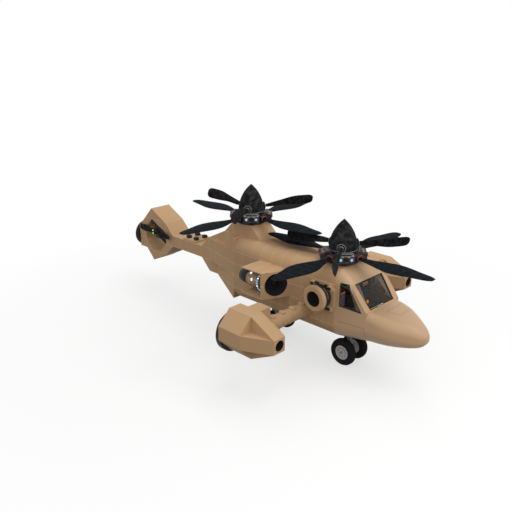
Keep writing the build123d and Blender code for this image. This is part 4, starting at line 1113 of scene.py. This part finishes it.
POD_Y = middle_of("pod_right")[1]
POD_TIP = (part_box("pod_right")[1][0], POD_Y, STRUT_Z)
SOCKET_R = 0.2
SOCKET_RIM = 0.016
# Outlines: radius, distance outwards from the socket's mouth or the nozzle's
POD_BORE = [(0.0001, -0.395), (0.187, -0.395), (0.187, -0.006)]
NOZZLE_PLUG = [(0.0001, 0.02), (0.06, -0.02), (0.11, -0.10), (0.12, -0.26)]
NOZZLE_PLACE = (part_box("pod_nozzle_right")[0][0], POD_Y, middle_of("pod_nozzle_right")[2])
NOZZLE_TURN = turn_to((-1, 0, 0))
NOZZLE_VANES = 20
# Vane: half sizes, place from the nozzle's axis
NOZZLE_VANE = ((0.23, 0.008, 0.07), (0.32, 0, -0.12))
socket = placed(hoop(SOCKET_R, SOCKET_RIM, 40), POD_TIP, ALONG_X)
fixed("pod_sockets", mirrored(socket), PAINT)
fixed("pod_bores", mirrored(placed(lathe(POD_BORE, 40), POD_TIP, ALONG_X)), BLACK)
guides = joined([ring_of(pad_at(*NOZZLE_VANE), NOZZLE_VANES), lathe(NOZZLE_PLUG)])
fixed("nozzle_vanes", mirrored(placed(guides, NOZZLE_PLACE, NOZZLE_TURN)), DARK)
print("strut bands:", len(bands), "vanes:", NOZZLE_VANES)

# %% [markdown]
# ## Tail
# The drive case hangs in the ring's opening with oil lines, cooling fins, a head and a sump. Two
# green lamps mark the tail rotor's hub, vanes straighten the flow in the exhaust behind the ring,
# and caps close the units on the boom's deck.

# %% Tail
CASE_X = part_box("tail_drive")[1][0]
CASE_HALF = 0.470
# Oil lines: height, thickness; their inset, run aft, bow outwards and rise
OIL_LINES = [(2.48, 0.03), (2.58, 0.02), (2.68, 0.035), (2.78, 0.02)]
OIL_INSET, OIL_RUN, OIL_BOW, OIL_RISE = 0.02, 0.62, 0.03, 0.25
# Fins: number, inset, pitch aft, height of the first and rise of each next one
FINS, FIN_INSET, FIN_PITCH, FIN_Z, FIN_RISE = 8, 0.1, 0.07, 2.32, 0.035
FIN_HALF = (0.012, CASE_HALF + 0.02, 0.10)
# Pads and vane: half sizes, place
DRIVE_HEAD = ((0.17, 0.46, 0.13), (-6.36, 0, 3.10))
DRIVE_SUMP = ((0.22, 0.44, 0.26), (-6.07, 0, 2.60))
EXHAUST_VANE = ((0.14, 0.008, 0.09), (0.19, 0, -0.14))
EXHAUST_VANES = 12
# Lens and cap: radius, height
TAIL_LENS = (0.034, 0.02)
DECK_CAP = (0.06, 0.03)
TAIL_LAMP_LIFT = 0.07
DECK_CAP_IN = 0.085


def oil_line(height, thick):
    """Pipe along the case that bows outwards as a sine and rises aft."""
    share = np.linspace(0, 1, 14)
    path = np.stack([CASE_X - OIL_INSET - OIL_RUN * share, -CASE_HALF - OIL_BOW * np.sin(pi * share),
                     height + OIL_RISE * share], axis=-1)
    return pipe(path, thick)


fixed("drive_lines", mirrored(joined([oil_line(*line) for line in OIL_LINES])), HUB_GREY)
fins = [pad_at(FIN_HALF, (CASE_X - FIN_INSET - FIN_PITCH * n, 0, FIN_Z + FIN_RISE * n)) for n in range(FINS)]
fixed("drive_fins", joined(fins), DARK)
fixed("drive_head", joined([pad_at(*DRIVE_HEAD), pad_at(*DRIVE_SUMP)]), DARK)
hub_x, _, hub_z = middle_of("tail_rotor")
hub_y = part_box("tail_rotor")[0][1]
lifts = (-TAIL_LAMP_LIFT, TAIL_LAMP_LIFT)
lenses = [placed(dome(*TAIL_LENS), (hub_x, hub_y, hub_z + lift), OUTWARDS) for lift in lifts]
piece("tail_lamps", joined(lenses), GREEN, "tail_propeller")
exhaust_place = (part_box("aft_exhaust")[0][0], 0, middle_of("aft_exhaust")[2])
vanes = placed(ring_of(pad_at(*EXHAUST_VANE), EXHAUST_VANES), exhaust_place, NOZZLE_TURN)
fixed("exhaust_vanes", vanes, DARK)
deck_low, deck_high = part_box("deck_units")
caps = [placed(dome(*DECK_CAP), (x, y, deck_high[2]))
        for x in (deck_low[0] + DECK_CAP_IN, deck_high[0] - DECK_CAP_IN)
        for y in (deck_low[1] + DECK_CAP_IN, deck_high[1] - DECK_CAP_IN)]
fixed("deck_caps", joined(caps), HUB_GREY)
print("tail parts:", 2 * len(OIL_LINES) + FINS)

# %% [markdown]
# ## Cockpit
# Through the tinted glass the crew's seats, the panel with its lit keys, a lattice on the rear wall
# and the overhead lamps show. Seats are soft, so they are pads with rounded edges.

# %% Cockpit
seat_low, seat_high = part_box("crew_seats")
back_x, foot_z, head_z = seat_low[0], seat_low[2], seat_high[2]
mid_x = middle_of("crew_seats")[0]
SEAT_Y = 0.43
# Seat pads: half sizes, roundness, place along the aircraft, height
SHELL_PADS = [
    ((0.22, 0.20, 0.14), 0.2, mid_x, foot_z + 0.142),
    ((0.03, 0.22, 0.30), 0.2, back_x + 0.032, head_z - 0.32),
]
CUSHION_PADS = [
    ((0.215, 0.23, 0.055), 0.4, mid_x + 0.02, foot_z + 0.32),
    ((0.05, 0.21, 0.25), 0.4, back_x + 0.11, head_z - 0.30),
    ((0.045, 0.12, 0.06), 0.5, back_x + 0.10, head_z - 0.062),
]


def both_seats(pads):
    """Pads of one seat with those of the other."""
    return mirrored(joined([pad_at(size, (x, -SEAT_Y, z), soft) for size, soft, x, z in pads]))


seat_shells = fixed("seat_shells", both_seats(SHELL_PADS), LINING)
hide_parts("crew_seats")
seat_cushions = fixed("seat_cushions", both_seats(CUSHION_PADS), COVER)

panel_low, panel_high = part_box("instrument_panel")
panel_x, panel_z = panel_low[0], panel_high[2]
wall_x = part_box("cockpit_bulkhead")[1][0]
KEY_IN, KEY_DROP, SCREEN_IN = 0.02, 0.01, 0.06
KEY_HALF = (0.012, 0.05, 0.014)
KEYS_Y = np.linspace(-0.6, 0.15, 7)
SCREEN_HALF = (0.03, 0.07, 0.01)
SCREENS_Y = (0.30, 0.48)
SLAT_HALF = (0.012, 0.15, 0.014)
STRIP_HALF = (0.012, 0.15, 0.012)
VENT_Y = 0.67
VENT_Z = 2.42
VENT_PITCH = 0.075
VENT_SLATS = 6
WALL_LAMP_HALF = (0.012, 0.035, 0.02)
WALL_LAMPS_Y = (0.32, 0.42, 0.52)
WALL_LAMP_Z = 3.05
# Console and grip: half sizes, place; the stick goes from the console to the grip's foot
CONSOLE = ((0.14, 0.16, 0.14), (5.36, 0, 2.105))
GRIP = ((0.03, 0.03, 0.06), (5.24, 0.08, 2.49))
STICK_FOOT = (5.30, 0.06, 2.2)
STICK_HEAD = (5.24, 0.08, 2.45)
STICK_THICK = 0.014
keys = [pad_at(KEY_HALF, (panel_x + KEY_IN, y, panel_z - KEY_DROP)) for y in KEYS_Y]
fixed("panel_keys", joined(keys), YELLOW)
screens = [pad_at(SCREEN_HALF, (panel_x + SCREEN_IN, y, panel_z)) for y in SCREENS_Y]
fixed("panel_screens", joined(screens), WHITE_LENS)
slats = [pad_at(SLAT_HALF, (wall_x, VENT_Y, VENT_Z + VENT_PITCH * n)) for n in range(VENT_SLATS)]
# The vent slats glow: painted light, not a lamp
fixed("wall_vents", mirrored(joined(slats)), GLOWING_LILAC)
strip = pad_at(STRIP_HALF, (wall_x, VENT_Y, VENT_Z + VENT_PITCH * VENT_SLATS))
fixed("wall_strips", mirrored(strip), ORANGE_GLOW)
marks = [pad_at(WALL_LAMP_HALF, (wall_x, y, WALL_LAMP_Z)) for y in WALL_LAMPS_Y]
fixed("wall_lamps", mirrored(joined(marks)), DIM_GREEN)
# The grip glows: painted light, not a lamp
fixed("control_grip", pad_at(*GRIP, 0.5), ORANGE_GLOW)
stick = pipe(np.linspace(STICK_FOOT, STICK_HEAD, 6), STICK_THICK)
fixed("centre_console", joined([pad_at(*CONSOLE, 0.2), stick]), LINING)
print("keys:", len(keys), "slats:", 2 * VENT_SLATS)

# %% [markdown]
# ## Window seals and pillar gussets
# Rubber seals run round each window, and a gusset stiffens each front pillar behind the windscreen.
# A seal is a pipe along the window's corners, laid on the plane of the windscreen or on the curved
# side wall. A gusset is a flat plate that follows the same two faces a little further in.

# %% Window seals and pillar gussets
# Windscreen corners in its own plane: distance to the side, distance up the slope
SCREEN_FOOT = np.array([5.9, 0, 2.575])
SCREEN_HEAD = np.array([5.25, 0, 3.4])
SCREEN_CORNERS = np.array([(-0.68, 0.045), (0.68, 0.045), (0.77, 1.0103), (-0.77, 1.0103), (-0.68, 0.045)])
# Cabin frames: place along the hull, half width, top height, upper corner radius
CABIN = np.array([(4.65, 1.0, 3.75, 0.5), (5.25, 0.98, 3.4, 0.25), (5.9, 0.967, 3.4, 0.25)])
SIDE_CORNERS = np.array([(4.835, 2.53), (5.72, 2.53), (5.14, 3.36), (4.835, 3.36), (4.835, 2.53)])
SEAL = 0.014
SEAL_POINTS = 97
SCREEN_SEAL_IN = 0.010
SIDE_SEAL_IN = 0.008
# Gusset corners on the windscreen's plane and on the side wall, with the depths of their two faces
GUSSET = [(-0.765, 1.0), (-0.50, 1.0), (-0.66, 0.10), (-0.69, 0.10)]
GUSSET_DEPTHS = (0.060, 0.080)
SIDE_GUSSET = np.array([(5.14, 3.28), (5.70, 2.55), (5.47, 2.55), (5.12, 3.28)])
SIDE_GUSSET_DEPTHS = (0.056, 0.076)
# Lamp: place on the windscreen's plane, radius, height
GUSSET_LAMP = (-0.61, 0.86)
GUSSET_LENS = (0.024, 0.012)


def along_corners(corners):
    """Points spread along straight runs between corners."""
    place = np.linspace(0, len(corners) - 1, SEAL_POINTS)
    columns = [np.interp(place, np.arange(len(corners)), corners[:, k]) for k in range(corners.shape[1])]
    return np.stack(columns, axis=-1)


def cabin_side(x, z):
    """Distance of the cabin's side wall from the middle: straight below, an arc near the roof."""
    half, top, corner = (np.interp(x, CABIN[:, 0], CABIN[:, k]) for k in (1, 2, 3))
    rise = np.clip(z - (top - corner), 0, 0.98 * corner)
    return half - corner + np.sqrt(corner ** 2 - rise ** 2)


def on_side(corners, depth):
    """Places on the right side wall, moved in by a depth, from corners given along and up."""
    x, z = corners.T
    return np.stack([x, depth - cabin_side(x, z), z], axis=-1)


def behind_screen(spots, depth):
    """Places behind the windscreen, moved in by a depth, from distances to the side and up the slope."""
    spots = np.asarray(spots, float)
    return SCREEN_FOOT + spots[..., 1:] * slope + spots[..., :1] * np.array([0, 1.0, 0]) - depth * facing


def plate(front, back):
    """Flat plate with a thickness, from the four corners of its two faces."""
    sides = [(1, 5, 4, 0), (2, 6, 5, 1), (3, 7, 6, 2), (0, 4, 7, 3)]
    return np.concatenate([front, back]), np.array([(3, 2, 1, 0), (4, 5, 6, 7)] + sides)


slope = (SCREEN_HEAD - SCREEN_FOOT) / np.linalg.norm(SCREEN_HEAD - SCREEN_FOOT)
facing = np.cross([0, 1.0, 0], slope)
screen_path = behind_screen(along_corners(SCREEN_CORNERS), SCREEN_SEAL_IN)
side_path = on_side(along_corners(SIDE_CORNERS), SIDE_SEAL_IN)
fixed("windscreen_seal", pipe(screen_path, SEAL), BLACK)
fixed("side_seals", mirrored(pipe(side_path, SEAL)), BLACK)
screen_faces = [behind_screen(GUSSET, depth) for depth in GUSSET_DEPTHS]
side_faces = [on_side(SIDE_GUSSET, depth) for depth in SIDE_GUSSET_DEPTHS]
gussets = mirrored(joined([plate(*screen_faces), plate(*side_faces)]))
# The gussets glow faintly: painted light, not a lamp
fixed("pillar_gussets", gussets, GUSSET_GLOW_PAINT)
lamp_place = behind_screen(GUSSET_LAMP, GUSSET_DEPTHS[0])
gusset_lamp = placed(dome(*GUSSET_LENS), lamp_place, turn_to(facing))
fixed("gusset_lamps", mirrored(gusset_lamp), RED_LENS)
print("seals and gussets placed")

# %% [markdown]
# ## Wheels
# A tyre is a turned outline with four grooves round its tread and a raised ring on each wall. It
# stands in for the plain tyre of the CAD model. Bolts and a cap finish each wheel.

# %% Wheels
TYRE_HALF = 0.135
GROOVE_DEPTH = 0.016
RIM_BOLTS = 8
RIM_BOLT_START = 0.2
RIM_BOLT_HEAD = (0.014, 0.012)
RIM_BOLT_PLACE = (0.098, 0, TYRE_HALF - 0.020)
# Half of the tyre's outline from the bead to the middle of the tread: radius, distance from the middle
HALF_TYRE = [
    (0.262, 0.113), (0.31, 0.132), (0.352, 0.1335), (0.358, 0.1348), (0.372, 0.1348), (0.378, 0.1335),
    (0.41, 0.134), (0.456, 0.124), (0.479, 0.100), (0.497, 0.058), (0.4975, 0.050),
    (0.4975 - GROOVE_DEPTH, 0.047), (0.4975 - GROOVE_DEPTH, 0.038), (0.499, 0.035), (0.4995, 0.014),
    (0.4995 - GROOVE_DEPTH, 0.011), (0.4995 - GROOVE_DEPTH, 0.004),
]
outline = HALF_TYRE + [(0.4998, 0.002), (0.4998, -0.002)] + [(r, -y) for r, y in HALF_TYRE[::-1]]
tyre_form = lathe(outline, 72)
bolt_form = ring_of(placed(dome(*RIM_BOLT_HEAD), RIM_BOLT_PLACE), RIM_BOLTS, RIM_BOLT_START)
cap_form = lathe([(0.0001, TYRE_HALF + 0.004), (0.045, TYRE_HALF), (0.062, TYRE_HALF - 0.02)], 24)
face_form = joined([bolt_form, cap_form])
# Wheels: name, body that turns it
WHEELS = {
    "nose_tyre_left": "nose_wheels", "nose_tyre_right": "nose_wheels",
    "main_tyre_left": "main_wheel_left", "main_tyre_right": "main_wheel_right",
}
for node, body in WHEELS.items():
    low, high = (np.array(corner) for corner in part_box(node))
    place = (low + high) / 2
    away = (0, np.sign(place[1]), 0)
    tyre = piece(node + "_tread", placed(tyre_form, place, turn_to(away)), RUBBER, body)
    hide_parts(node)
    piece(node + "_bolts", placed(face_form, place, turn_to(away)), LIGHT_GREY, body)
print("wheels:", len(WHEELS), "triangles in a tyre:", 2 * len(tyre_form[1]))

# %% [markdown]
# ## Sizes
# The box round the dressed aircraft is written out, so that it can be set against the CAD model's.

# %% Sizes
low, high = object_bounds()
print("size:", [round(b - a, 3) for a, b in zip(low, high)])
